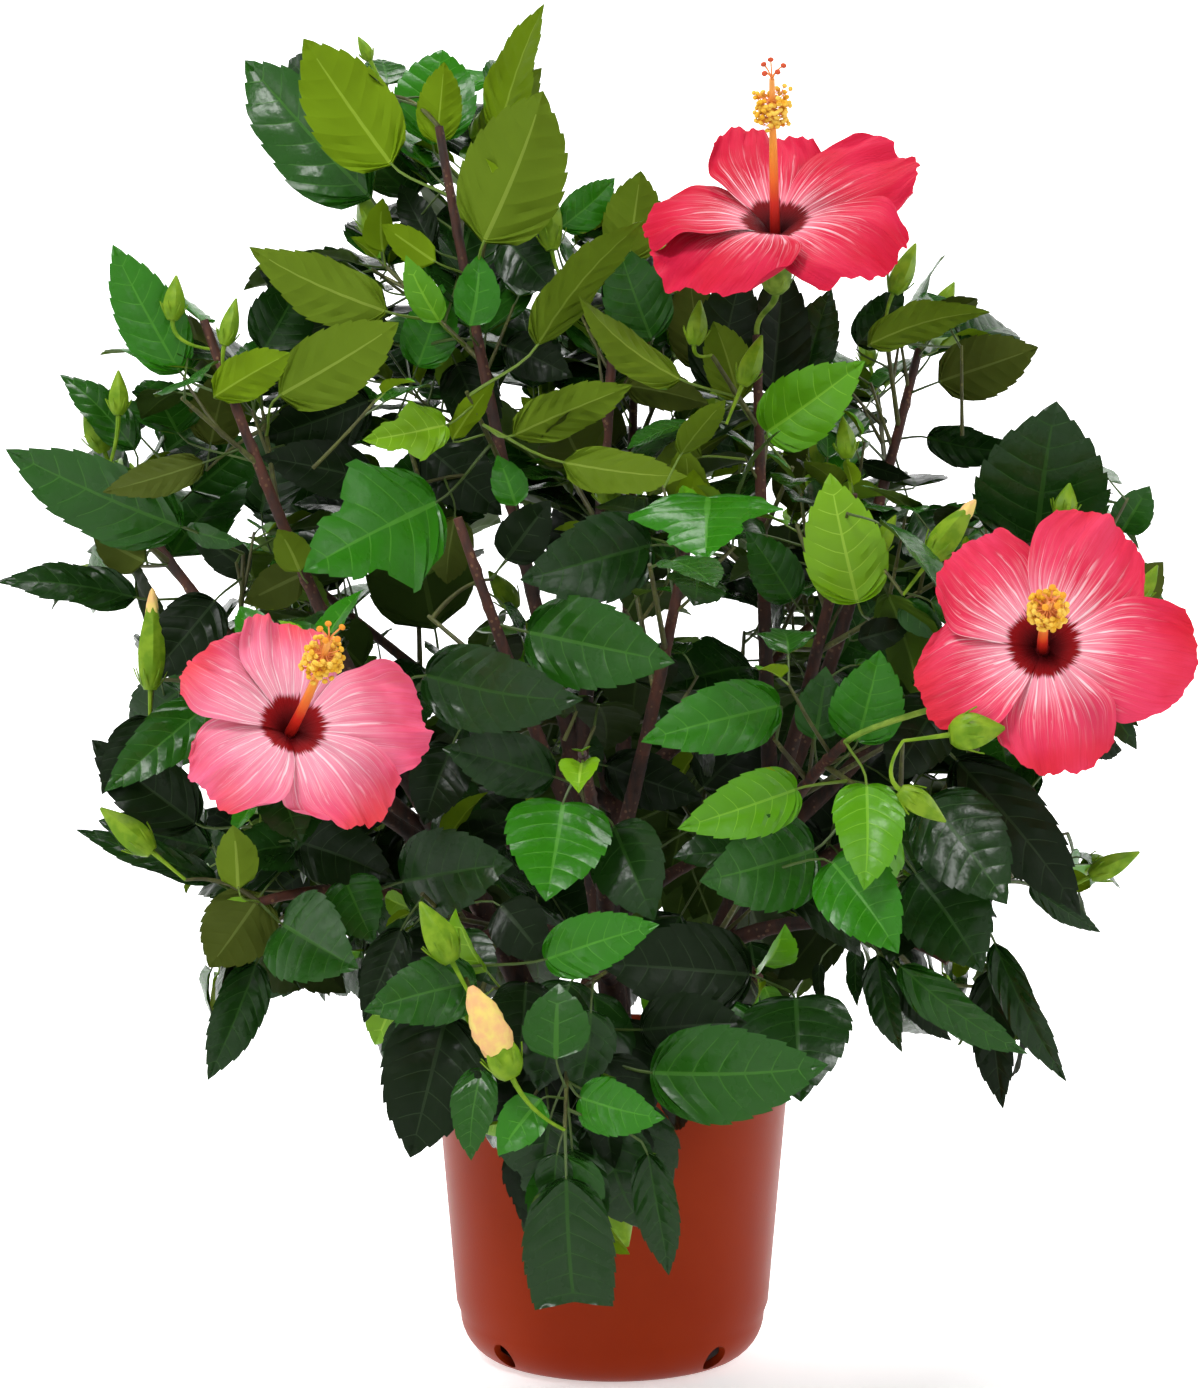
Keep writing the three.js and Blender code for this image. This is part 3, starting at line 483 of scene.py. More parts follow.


# The leaves that show most are placed one by one: where the blade starts and where its tip is in the front
# view, the depth of each, the side that faces the front, its width there, its turn about its own length, its
# shade and, where it isn't plain, its outline. A shade gives the leaf's own green and also the light or
# shade that falls on it: the dark shades as painted shade, the pale ones as painted light.

placedLeaves = [
    (392, 165, 305, 40, -10, -50, "under", 88, 12, "fresh"),
    (372, 198, 250, 58, 20, 40, "top", 86, -20, "middle"),
    (483, 243, 552, 98, -40, -90, "under", 104, 0, "olive"),
    (498, 135, 543, 5, 10, -10, "under", 46, 35, "fresh"),
    (432, 145, 441, 50, 30, 55, "top", 80, 0, "rich"),
    (437, 143, 446, 63, 5, -15, "under", 44, 10, "fresh"),
    (388, 312, 250, 251, -20, -60, "under", 66, 20, "olive"),
    (395, 345, 256, 278, 30, 40, "top", 62, -20, "deep"),
    (262, 352, 302, 280, -10, 0, "top", 64, 10, "dark"),
    (278, 396, 396, 322, -40, -70, "under", 72, -10, "olive"),
    (180, 373, 105, 251, -40, -60, "top", 64, 10, "rich"),
    (135, 450, 65, 372, -20, -20, "top", 42, 20, "middle"),
    (213, 397, 288, 352, -60, -100, "under", 46, 10, "fresh"),
    (432, 246, 398, 186, 20, 30, "top", 34, 10, "deep"),
    (436, 262, 382, 224, -20, -40, "under", 32, 10, "fresh"),
    (440, 322, 402, 258, -30, -45, "top", 34, -10, "fresh"),
    (470, 326, 484, 256, -30, -30, "top", 46, 10, "rich"),
    (505, 238, 552, 292, 20, 10, "top", 56, 0, "dark"),
    (537, 346, 645, 222, -60, -110, "under", 44, 45, "olive"),
    (652, 340, 612, 248, 0, -20, "top", 66, 10, "middle"),
    (682, 380, 578, 305, -40, -80, "under", 40, 35, "olive"),
    (628, 262, 641, 172, 0, -20, "under", 60, 0, "olive"),
    (560, 228, 618, 184, 10, 20, "top", 40, 0, "rich"),
    (740, 402, 722, 320, -20, -50, "under", 48, 10, "olive"),
    (767, 432, 866, 366, -80, -130, "top", 72, 0, "fresh"),
    (512, 436, 632, 388, -60, -100, "under", 46, 25, "olive"),
    (562, 462, 685, 478, -80, -120, "under", 48, -20, "olive"),
    (505, 345, 574, 372, 30, 20, "top", 46, 0, "deep"),
    (625, 385, 708, 405, 10, 0, "under", 40, 20, "dusk"),
    (370, 400, 262, 440, 20, 0, "top", 70, -10, "deep"),
    (372, 480, 262, 457, 0, -20, "top", 56, 10, "deep"),
    (437, 502, 303, 565, -60, -120, "top", 112, 0, "rich", "lobed"),
    (455, 515, 440, 582, -10, -30, "under", 46, 10, "dusk"),
    (446, 425, 366, 447, -60, -90, "top", 46, 10, "bright", "lobed"),
    (452, 440, 498, 382, -30, -40, "under", 24, 30, "fresh"),
    (516, 506, 500, 455, -20, -20, "top", 36, 0, "rich"),
    (183, 527, 9, 449, -60, -90, "top", 78, -25, "middle"),
    (205, 462, 103, 490, -80, -110, "under", 38, 20, "dusk"),
    (186, 528, 242, 541, -50, -60, "top", 22, 35, "middle"),
    (145, 562, 92, 536, -10, -20, "under", 44, 0, "dusk"),
    (136, 598, -2, 574, -20, -40, "top", 46, 30, "dark"),
    (300, 575, 243, 600, -30, -20, "under", 44, 10, "dusk"),
    (300, 572, 282, 528, -60, -70, "under", 36, 0, "olive"),
    (215, 600, 150, 682, -40, -60, "top", 64, 0, "deep"),
    (215, 700, 108, 792, -110, -150, "top", 54, 15, "middle"),
    (150, 718, 97, 790, -80, -90, "top", 40, 10, "deep"),
    (238, 890, 234, 826, -150, -170, "under", 42, 0, "olive"),
    (216, 882, 75, 838, -80, -100, "top", 30, 35, "dark"),
    (262, 893, 212, 968, -110, -140, "under", 74, 0, "dusk"),
    (256, 962, 208, 1078, -110, -130, "top", 50, -20, "dark"),
    (283, 925, 357, 968, -130, -180, "top", 92, 0, "middle"),
    (298, 842, 398, 872, -120, -140, "top", 66, 0, "deep"),
    (345, 880, 373, 942, -130, -160, "top", 60, 0, "middle"),
    (402, 882, 510, 862, -140, -170, "top", 88, 0, "dark"),
    (563, 803, 550, 900, -190, -235, "top", 104, 0, "rich"),
    (425, 675, 577, 718, -150, -200, "top", 84, 0, "dark"),
    (555, 777, 446, 742, -140, -150, "top", 62, -10, "dark"),
    (452, 745, 420, 822, -110, -120, "top", 60, 0, "deep"),
    (527, 632, 672, 662, -140, -190, "top", 90, 0, "middle"),
    (780, 705, 643, 735, -160, -205, "top", 70, -10, "rich"),
    (652, 545, 522, 577, -130, -170, "top", 86, 0, "dark"),
    (708, 497, 706, 558, -150, -196, "top", 120, 0, "rich", "lobed"),
    (793, 600, 750, 530, -70, -90, "top", 50, 0, "middle"),
    (858, 603, 828, 476, -130, -150, "top", 80, 0, "bright"),
    (605, 765, 700, 802, -90, -90, "top", 56, 0, "deep"),
    (505, 560, 548, 500, -70, -80, "top", 50, 10, "deep"),
    (797, 789, 680, 828, -200, -240, "top", 64, -5, "fresh"),
    (815, 850, 703, 884, -200, -240, "top", 96, 0, "middle"),
    (832, 862, 905, 946, -230, -265, "top", 80, 0, "rich"),
    (867, 785, 868, 888, -240, -270, "top", 70, 0, "fresh"),
    (858, 742, 880, 652, -160, -180, "top", 72, 0, "rich"),
    (815, 740, 828, 668, -150, -160, "top", 48, 0, "middle"),
    (928, 800, 1012, 898, -170, -210, "top", 92, 0, "dark"),
    (915, 872, 990, 965, -160, -190, "top", 94, 0, "dark"),
    (955, 758, 1088, 905, -110, -130, "top", 74, 0, "deep"),
    (1030, 885, 1100, 932, -90, -90, "top", 22, 30, "dark"),
    (995, 942, 1066, 1080, -90, -90, "top", 36, 30, "dark"),
    (990, 970, 1004, 1107, -60, -60, "top", 46, 20, "deep"),
    (900, 965, 1020, 1060, -130, -140, "top", 44, 25, "middle"),
    (878, 955, 895, 1052, -110, -110, "top", 36, 20, "dark"),
    (900, 975, 946, 1043, -100, -100, "top", 30, 20, "deep"),
    (857, 945, 856, 1006, -80, -80, "top", 20, 30, "dark"),
    (820, 962, 822, 1006, -80, -80, "top", 14, 30, "deep"),
    (1036, 548, 1050, 403, -20, -50, "top", 130, 0, "dark"),
    (1122, 532, 1149, 486, -10, -20, "top", 40, 0, "middle"),
    (927, 437, 1023, 458, 40, 20, "top", 40, 20, "dark"),
    (938, 382, 1038, 350, 30, 0, "under", 62, 10, "dusk"),
    (868, 345, 985, 300, 0, -20, "under", 42, 25, "olive"),
    (857, 345, 908, 290, 40, 30, "top", 42, 0, "dark"),
    (900, 604, 946, 637, -120, -130, "top", 32, 10, "middle"),
    (1104, 700, 1142, 745, -120, -130, "top", 24, 20, "dark"),
    (1128, 606, 1160, 560, -150, -150, "under", 44, 0, "dusk"),
    (858, 640, 910, 625, -120, -120, "top", 32, 0, "deep"),
    (862, 462, 911, 478, 20, 20, "top", 18, 30, "deep"),
    (940, 700, 890, 780, -140, -150, "top", 70, 0, "deep"),
    (796, 998, 802, 1100, -200, -240, "top", 108, 0, "dark"),
    (650, 1073, 826, 1080, -235, -268, "top", 96, 0, "middle"),
    (580, 1098, 662, 1124, -262, -300, "top", 56, 0, "rich"),
    (541, 1099, 495, 1152, -275, -285, "top", 46, 0, "rich"),
    (482, 1068, 463, 1158, -240, -250, "top", 46, 10, "middle"),
    (556, 1060, 556, 985, -262, -250, "top", 66, 0, "middle"),
    (476, 982, 364, 1003, -225, -262, "top", 68, 0, "middle"),
    (402, 928, 365, 1022, -180, -190, "top", 44, 10, "deep"),
    (447, 1013, 409, 1155, -225, -240, "top", 100, 0, "deep"),
    (545, 960, 656, 922, -240, -275, "top", 60, 0, "rich"),
    (752, 975, 602, 962, -190, -215, "top", 92, 0, "deep"),
    (500, 905, 548, 958, -180, -190, "top", 58, 0, "deep"),
    (566, 1176, 570, 1312, -290, -290, "top", 90, 0, "dark", "blunt"),
    (648, 1152, 674, 1273, -272, -272, "top", 42, 25, "dark"),
    (602, 1105, 615, 1168, -250, -250, "top", 34, 10, "deep"),
    (640, 1030, 745, 1022, -215, -235, "top", 66, 0, "deep"),
    (716, 392, 738, 268, 25, 15, "top", 70, 0, "deep"),
    (771, 395, 786, 266, 25, 20, "top", 64, 10, "deep"),
    (703, 370, 688, 271, 35, 25, "under", 55, 0, "dusk"),
    (804, 378, 829, 289, 30, 25, "top", 49, 0, "dark"),
    (421, 442, 503, 511, 30, 25, "top", 67, 0, "deep"),
    (456, 363, 494, 452, 45, 35, "top", 57, -10, "deep"),
    (417, 367, 447, 287, 20, 15, "top", 55, 0, "rich"),
    (210, 445, 227, 367, 10, 5, "under", 55, 0, "dusk"),
    (250, 573, 194, 531, 10, 10, "top", 38, 0, "deep"),
    (197, 825, 87, 749, -70, -80, "top", 68, 10, "deep"),
    (212, 848, 100, 820, -60, -70, "top", 58, -10, "dark"),
]


widen = 1.14  # a folded, arched blade looks narrower than its flat width


def placedBlade(row):
    baseAcross, baseDown, tipAcross, tipDown, baseDepth, tipDepth, facing, units, turn, shade, *form = row
    base, tip = fromFront(baseAcross, baseDown, baseDepth), fromFront(tipAcross, tipDown, tipDepth)
    width = units * unitAt((baseDepth + tipDepth) / 2)
    length = float(np.linalg.norm(tip - base))
    ahead = (tip - base) / length
    toFront = unit(frontView - (base + tip) / 2)
    normal = unit(toFront - ahead * (toFront @ ahead))
    if facing == "under":
        normal = -normal
    turn = math.radians(turn)
    normal = turnAbout(normal, ahead, turn)
    halfWidth = widen * width / 2 / math.cos(turn)
    return bladeRecord(base - ahead * 12, ahead, base, ahead, normal, length, halfWidth,
                       shade=shade, form=form[0] if form else "")


def moved(blade, offset):
    return addSamples({**blade, "base": blade["base"] + offset, "node": blade["node"] + offset})


blades = Blades()
placed = sorted((placedBlade(row) for row in placedLeaves), key=lambda blade: blade["base"][1])
for blade in placed:  # a blade that would cut through one nearer the front moves back a little
    for attempt in range(14):
        if not blades.hitBy(blade):
            break
        away = unit((blade["base"] + blade["ahead"] * blade["length"] / 2) - frontView)
        blade = moved(blade, away * 5)
    blades.add(blade)
placed = list(blades.records)
print("leaves placed by hand:", len(placed))


# Each of these leaves hangs on the nearest limb, on a fine twig where that limb is far away.

fineTwig = {"length": 62, "leastLength": 24, "radius": 1.35, "tipRadius": 0.9, "perTwig": 2, "attempts": 4,
            "forward": 0.7, "outward": 0.72}
hanging = {"stalkShare": 0.32, "behind": 6.0, "reach": 34, "reachShare": 0.25, "budStalk": 26, "budReach": 40}


def limbPlaces():  # points on the limbs, each with its mass, its shoot and its share along the shoot
    places = []
    for index, mass in enumerate(masses):
        for t in np.linspace(0.25, 1, max(3, int(mass["curve"].length() / 7))):
            places.append((mass["curve"].at(t), index, None, t))
        for shoot in mass["shoots"]:
            curve, last = shoot["curve"], shoot.get("end", 1.0)
            if last > shoot["from"] + 0.05:
                for t in np.linspace(shoot["from"], last, max(3, int(curve.length() * last / 7))):
                    places.append((curve.at(t), index, shoot, t))
    for stem in stems.values():
        for t in np.linspace(0.2, 1, 30):
            point = stem["curve"].at(t)
            places.append((point, int(np.argmin(np.linalg.norm(massMiddles - point, axis=1))), None, t))
    return places


def attach(wanted, farthest):  # the limb place nearest to where a stalk should start
    places = limbPlaces()
    points = np.array([place[0] for place in places])
    away = np.linalg.norm(points - wanted, axis=1)
    best = int(np.argmin(away))
    point, index, shoot, t = places[best]
    if shoot:
        shoot["needed"] = max(shoot.get("needed", 0.0), min(1.0, t + 0.03))
    if away[best] <= farthest:
        return point, index
    start = point
    reach = float(np.linalg.norm(wanted - start))
    lift = up * reach * (0.22 if wanted[2] > start[2] else 0.1)
    curve = Curve(start, start + (wanted - start) * 0.5 + lift, wanted)
    masses[index]["shoots"].append({"curve": curve, "from": 0, "radius": fineTwig["radius"] * 1.25,
                                    "tipRadius": fineTwig["tipRadius"], "kind": "link"})
    obstacles.addCurve(curve, 0.1, 1, fineTwig["radius"])
    return wanted, index


for blade in sorted(placed, key=lambda blade: -blade["length"]):
    back = blade["ahead"] * blade["length"] * hanging["stalkShare"]
    wanted = blade["base"] - back + np.array([0, hanging["behind"], 0])
    node, index = attach(wanted, hanging["reach"] + blade["length"] * hanging["reachShare"])
    blade["node"], blade["mass"] = node, index
    blade["stalk"] = unit(blade["base"] - node)


# The buds that show most: foot and tip in the front view, depth, size, and how far the rolled petals show.

placedBuds = [
    (552, 250, 541, 165, -10, 1.0, 0.35),
    (150, 690, 152, 592, -60, 1.0, 0.35),
    (152, 852, 100, 808, -130, 1.05, 0),
    (452, 962, 420, 902, -250, 1.1, 0),
    (512, 1078, 472, 990, -292, 1.15, 1),
    (950, 735, 1005, 728, -250, 1.25, 0),
    (900, 790, 946, 822, -255, 0.85, 0),
    (930, 560, 974, 502, -150, 1.05, 0.2),
    (876, 555, 896, 515, -140, 0.7, 0),
    (1062, 520, 1070, 483, -60, 0.9, 0),
    (893, 293, 916, 243, 10, 0.9, 0),
    (694, 345, 700, 300, -60, 0.8, 0),
    (742, 385, 762, 335, -70, 0.85, 0),
    (1090, 877, 1140, 852, -60, 0.85, 0),
    (172, 320, 176, 275, -60, 0.8, 0),
    (224, 345, 236, 298, -60, 0.7, 0),
    (118, 415, 118, 370, -40, 0.75, 0),
    (1140, 600, 1158, 565, -170, 0.6, 0),
    (370, 60, 358, 36, 20, 0.5, 0),
]
budPlaces = []
for row in placedBuds:
    footAcross, footDown, tipAcross, tipDown, depth, size, showing = row
    foot, tip = fromFront(footAcross, footDown, depth), fromFront(tipAcross, tipDown, depth)
    heading = unit(tip - foot)
    node, index = attach(foot - heading * hanging["budStalk"], hanging["budReach"])
    budPlaces.append({"node": node, "foot": foot, "heading": heading, "size": size, "showing": showing,
                      "length": float(np.linalg.norm(tip - foot))})
    for share in (0.1, 0.5, 0.9):
        obstacles.add(foot + (tip - foot) * share, 8 * size)
links = [shoot for mass in masses for shoot in mass["shoots"] if shoot["kind"] == "link"]
print("limbs for placed leaves and buds:", len(links))


# Finer twigs branch off the shoots wherever they have room.

def twigFits(index, start, heading, length):
    end = start + heading * length
    return (insideSpace(index, start + heading * (length + 6), slack["fineTwig"])
            and keepsFrontOpen(end[None]) and not crossesOpening(start, end)
            and obstacles.clearOf(start, end, fineTwig["radius"]) and not blades.piercedBy(start, end))


def growFineTwigs(index, shoots, random):
    made = []
    for shoot in shoots:
        count = fineTwig["perTwig"] + (1 if shoot["kind"] == "spine" else 0)
        for i in range(count):
            t = shoot["from"] + (1 - shoot["from"]) * (0.3 + 0.6 * (i + random()) / count)
            start, axis = shoot["curve"].at(t), shoot["curve"].tangent(t)
            side, other = squareTo(axis)
            for _ in range(fineTwig["attempts"]):
                outward = around(side, other, random() * 2 * math.pi)
                heading = axis * fineTwig["forward"] + outward * fineTwig["outward"]
                heading[2] += mapRange(start[2], 250, 600, -0.15, 0.4)
                heading = unit(heading)
                length = fineTwig["length"] * random(0.7, 1.15)
                while length > fineTwig["leastLength"] and not twigFits(index, start, heading, length):
                    length *= shorten
                if length <= fineTwig["leastLength"]:
                    continue
                end = start + heading * length + up * length * 0.08
                curve = Curve(start, start + heading * length * 0.5, end)
                made.append({"curve": curve, "from": 0, "radius": fineTwig["radius"],
                             "tipRadius": fineTwig["tipRadius"], "kind": "fine"})
                obstacles.addCurve(curve, 0.2, 1, fineTwig["radius"])
                break
    return made


for index, mass in enumerate(masses):
    shoots = [shoot for shoot in mass["shoots"] if shoot["kind"] != "link"]
    mass["shoots"] += growFineTwigs(index, shoots, RandomStream(500 + index))
print("all twigs:", sum(len(mass["shoots"]) for mass in masses))


# Leaves turn a little towards the front, where the light comes from.
sunny = np.array([0.0, -0.7, 0.0])


def leafAt(node, axis, angle, size, random):
    lift = mapRange(node[2], 230, 720, -0.75, 0.5)
    side, other = squareTo(axis)
    radial = around(side, other, angle)
    lean = 0.75 + 0.35 * random()
    length = leaf["length"] * size
    stalk = unit(axis * math.cos(lean) + radial * math.sin(lean) + up * 0.3 * lift)
    base = node + stalk * (length * leaf["petiole"] * (0.8 + 0.5 * random()) + 4)
    ahead = unit(stalk + up * (lift - 0.45 * random()))
    outward = unit(unit(np.array([base[0], base[1], 0.0])) + sunny)
    light = unit(up + outward * clamp(mapRange(node[2], 260, 700, 1.0, -0.25), -0.25, 1.0))
    normal = turnAbout(unit(light - ahead * (light @ ahead)), ahead, (random() - 0.5) * 1.0)
    halfWidth = length * leaf["halfWidth"] * (0.86 + 0.28 * random())
    return bladeRecord(node, stalk, base, ahead, normal, length, halfWidth)


placedFront = seenFromFront(np.array([blade["base"] for blade in placed]))
placedTips = seenFromFront(np.array([blade["base"] + blade["ahead"] * blade["length"] for blade in placed]))
placedHalf = np.array([blade["halfWidth"] * abs(blade["normal"][1]) * 0.8 + 2 for blade in placed])
placedDepth = np.array([blade["base"][1] + blade["ahead"][1] * blade["length"] / 2 for blade in placed])


def coversPlaced(points):  # would these points hide one of the placed leaves from the front?
    places = seenFromFront(points)
    line = placedTips - placedFront
    length = np.linalg.norm(line, axis=1)
    line = line / length[:, None]
    away = places[:, None] - placedFront
    along = (away * line).sum(axis=2)
    across = np.abs(away[..., 0] * line[:, 1] - away[..., 1] * line[:, 0])
    over = (along > 4) & (along < length - 4) & (across < placedHalf) & (points[:, 1:2] < placedDepth + 4)
    return bool(over.any())


def touchesLimb(blade, radiusShare, clearance):
    points, radii = obstacles.points[:obstacles.count], obstacles.radii[:obstacles.count]
    far = np.linalg.norm(points - blade["node"], axis=1) > rootReach
    return (far & touches(blade, points, radii * radiusShare, clearance)).any()


def leafFits(index, blade):
    if not insideSpace(index, blade["samples"], slack["leaf"]) or not keepsFrontOpen(blade["samples"][2:]):
        return False
    if coversPlaced(blade["samples"][2:]) or crossesOpening(blade["node"], blade["base"]):
        return False
    if touchesLimb(blade, 0.9, leaf["clearance"]):
        return False
    return obstacles.clearOf(blade["node"], blade["base"], 0.6) and not blades.hitBy(blade)


def growLeaves(index, random):
    mass = masses[index]
    for shoot in mass["shoots"]:
        curve, first = shoot["curve"], shoot["from"]
        length = np.linalg.norm(curve.at(1) - curve.at(first))
        spacing = leaf["spacing"] * (0.85 if shoot["kind"] == "fine" else 1)
        count = max(2, round(length / spacing))
        turn = random() * 2 * math.pi
        for i in range(1, count + 1):
            t = first + (1 - first) * (0.1 + 0.86 * i / count)
            node, axis = curve.at(t), curve.tangent(t)
            size = (0.58 + 0.42 * min(1, length * (1 - i / count) / 50)) * (0.8 + 0.25 * random())
            if shoot["kind"] in ("fine", "link"):
                size *= 0.9
            for attempt in range(leaf["attempts"]):
                angle = turn + i * goldenAngle + attempt * 0.85
                blade = leafAt(node, axis, angle, size * (1 - 0.05 * attempt), random)
                if leafFits(index, blade):
                    blade["mass"] = index
                    blade["age"] = clamp(1.15 - 0.9 * (i / count) * random(0.6, 1.0))
                    blades.add(blade)
                    shoot["end"] = min(1.0, max(shoot["end"], t + 0.03))
                    break


for mass in masses:
    for shoot in mass["shoots"]:
        shoot["end"] = 1.0 if shoot["kind"] in ("spine", "link") else shoot.get("needed", 0.0)
for index in range(len(masses)):
    growLeaves(index, RandomStream(1000 + index))
print("leaves placed:", len(blades.records))


# Seen from the front, the shrub is see-through only at its openings. Where the leaves so far leave any other
# gap, an inner leaf behind it closes the view.

inner = {"cell": 5.0, "rounds": 9, "length": (62, 100), "halfWidth": 0.42, "nearest": -30, "farthest": 190,
         "stalk": 72, "limbNear": 18, "limbFar": 115}
hidden = {"bloomRadius": 66, "pot": ((-115, 0), (115, 205))}  # what blooms and pot cover, across and up
frontLow, frontHigh = frontOutline.min(axis=0), frontOutline.max(axis=0)
gridSize = np.ceil((frontHigh - frontLow) / inner["cell"]).astype(int) + 1
covered = np.zeros(gridSize, bool)


def cellsOf(places):
    cells = np.floor((places - frontLow) / inner["cell"]).astype(int)
    return np.clip(cells, 0, gridSize - 1)


def coverPlaces(places):
    cells = cellsOf(places)
    covered[cells[:, 0], cells[:, 1]] = True


def cover(blade):
    along, across = np.meshgrid(np.linspace(0.06, 0.92, 13), np.linspace(-1, 1, 11), indexing="ij")
    half = np.minimum(1, 2.3 * (1 - along)) * np.minimum(1, 0.45 + 2.5 * along) * 0.8 * blade["halfWidth"]
    points = (blade["base"] + (along * blade["length"])[..., None] * blade["ahead"]
              + (across * half)[..., None] * blade["side"]).reshape(-1, 3)
    coverPlaces(seenFromFront(points))


def coverOval(centre, radius):
    x, z = np.meshgrid(np.linspace(-1, 1, 25), np.linspace(-1, 1, 25))
    inside = x ** 2 + z ** 2 < 1
    coverPlaces(np.stack([x[inside], z[inside]], axis=1) * radius + centre)


for blade in blades.records:
    cover(blade)
for bloom in blooms:
    coverOval(seenFromFront(np.array([bloom["centre"]], float))[0], hidden["bloomRadius"])
potCells = cellsOf(np.array(hidden["pot"], float))
covered[potCells[0, 0]:potCells[1, 0] + 1, potCells[0, 1]:potCells[1, 1] + 1] = True
cells = np.stack(np.meshgrid(*map(np.arange, gridSize), indexing="ij"), axis=2)
cellMiddles = frontLow + (cells + 0.5) * inner["cell"]
flatMiddles = cellMiddles.reshape(-1, 2)
wantsCover = (insideOutline(flatMiddles) & ~inAny(flatMiddles, openings, 1.2)).reshape(gridSize)
print("front covered before filling:", round(float(covered[wantsCover].mean()), 3))

fillPlaces = limbPlaces()
fillPoints = np.array([place[0] for place in fillPlaces])
random = RandomStream(9001)
filled = 0
for attempt in range(inner["rounds"]):
    gaps = np.argwhere(wantsCover & ~covered)
    for cell in gaps[np.argsort([random() for _ in gaps])]:
        if covered[tuple(cell)]:
            continue
        seen = cellMiddles[tuple(cell)]
        depth = random(inner["nearest"], inner["farthest"])
        scale = unitAt(depth) / frontUnit
        target = np.array([frontView[0] + (seen[0] - frontView[0]) * scale, depth,
                           frontView[2] + (seen[1] - frontView[2]) * scale])
        away = np.linalg.norm(fillPoints - target, axis=1)
        near = np.flatnonzero((away > inner["limbNear"]) & (away < inner["limbFar"]))
        if not len(near):
            continue
        number = int(near[int(random() * len(near) * 0.999)])
        node, index = fillPlaces[number][:2]
        length = random(*inner["length"]) * (1 - 0.07 * attempt)
        heading = unit(target - node)
        droop = mapRange(target[2], 250, 700, -0.5, 0.25)
        ahead = unit(heading + up * (droop + random(-0.3, 0.3)) + np.array([random(-0.5, 0.5), 0, 0]))
        base = target - ahead * length * random(0.35, 0.6)
        if np.linalg.norm(base - node) > inner["stalk"]:
            continue
        facing = unit(np.array([random(-0.5, 0.5), -1.0, random(-0.1, 0.9)]))
        normal = unit(facing - ahead * (facing @ ahead))
        blade = bladeRecord(node, heading, base, ahead, normal, length, length * inner["halfWidth"],
                            mass=index, age=1.0)
        if leafFits(index, blade):
            blades.add(blade)
            cover(blade)
            filled += 1
print("inner leaves:", filled, "front covered:", round(float(covered[wantsCover].mean()), 3))


# Young leaves crowd round each shoot's tip.

rosette = {"count": 5, "fineCount": 2, "longest": 50, "shortest": 17, "halfWidth": 0.34}
youngLeaves = []


def growRosette(index, shoot, random):
    axis, tip = shoot["curve"].tangent(1), shoot["curve"].at(1)
    axis = unit(axis + up * clamp(mapRange(tip[2], 260, 600, -0.2, 0.7), -0.2, 0.7))
    side, other = squareTo(axis)
    count = rosette["fineCount"] if shoot["kind"] == "fine" else rosette["count"]
    for i in range(count):
        share = (i + 0.5) / count  # 0 is the outermost and longest
        angle = i * goldenAngle + random()
        lean = mapRange(share, 0, 1, 1.0, 0.25) + 0.15 * random()
        ahead = unit(axis * math.cos(lean) + around(side, other, angle) * math.sin(lean))
        length = mapRange(share, 0, 1, rosette["longest"], rosette["shortest"]) * random(0.8, 1.15)
        node = tip - axis * mapRange(share, 0, 1, 7, 0)
        normal = unit(axis - ahead * (axis @ ahead))
        blade = bladeRecord(node, ahead, node + ahead * length * 0.3, ahead, normal, length,
                            length * rosette["halfWidth"], mass=index, age=0.0)
        ends = blade["samples"][2:]
        if not insideSpace(index, ends, slack["young"]) or not keepsFrontOpen(ends) or coversPlaced(ends):
            continue
        if touchesLimb(blade, 1.0, 0.5):
            continue
        youngLeaves.append(blade)
        shoot["end"] = 1.0


for index, mass in enumerate(masses):
    random = RandomStream(2000 + index)
    for shoot in mass["shoots"]:
        if shoot["kind"] != "link" and shoot["end"] > 0.75:
            growRosette(index, shoot, random)
print("young leaves:", len(youngLeaves))


# A skin collects points and faces, and becomes one mesh piece.

def gridFaces(rows, columns, closed=False):  # quads over a grid of points, rows by columns
    width = columns if closed else columns - 1
    row, column = np.divmod(np.arange((rows - 1) * width), width)
    after = (column + 1) % columns
    return np.stack([row * columns + column, row * columns + after,
                     (row + 1) * columns + after, (row + 1) * columns + column], axis=1)


def tubeFaces(rings, sides):  # quads between the rings, and one flat face at each end
    quads, count = gridFaces(rings, sides, closed=True), rings * sides
    loops = np.concatenate([quads.ravel(), np.arange(sides)[::-1], np.arange(count - sides, count)])
    return loops, np.concatenate([np.full(len(quads), 4), [sides, sides]])


def addObject(name, data):
    added = bpy.data.objects.new(name, data)
    bpy.context.scene.collection.objects.link(added)
    return added


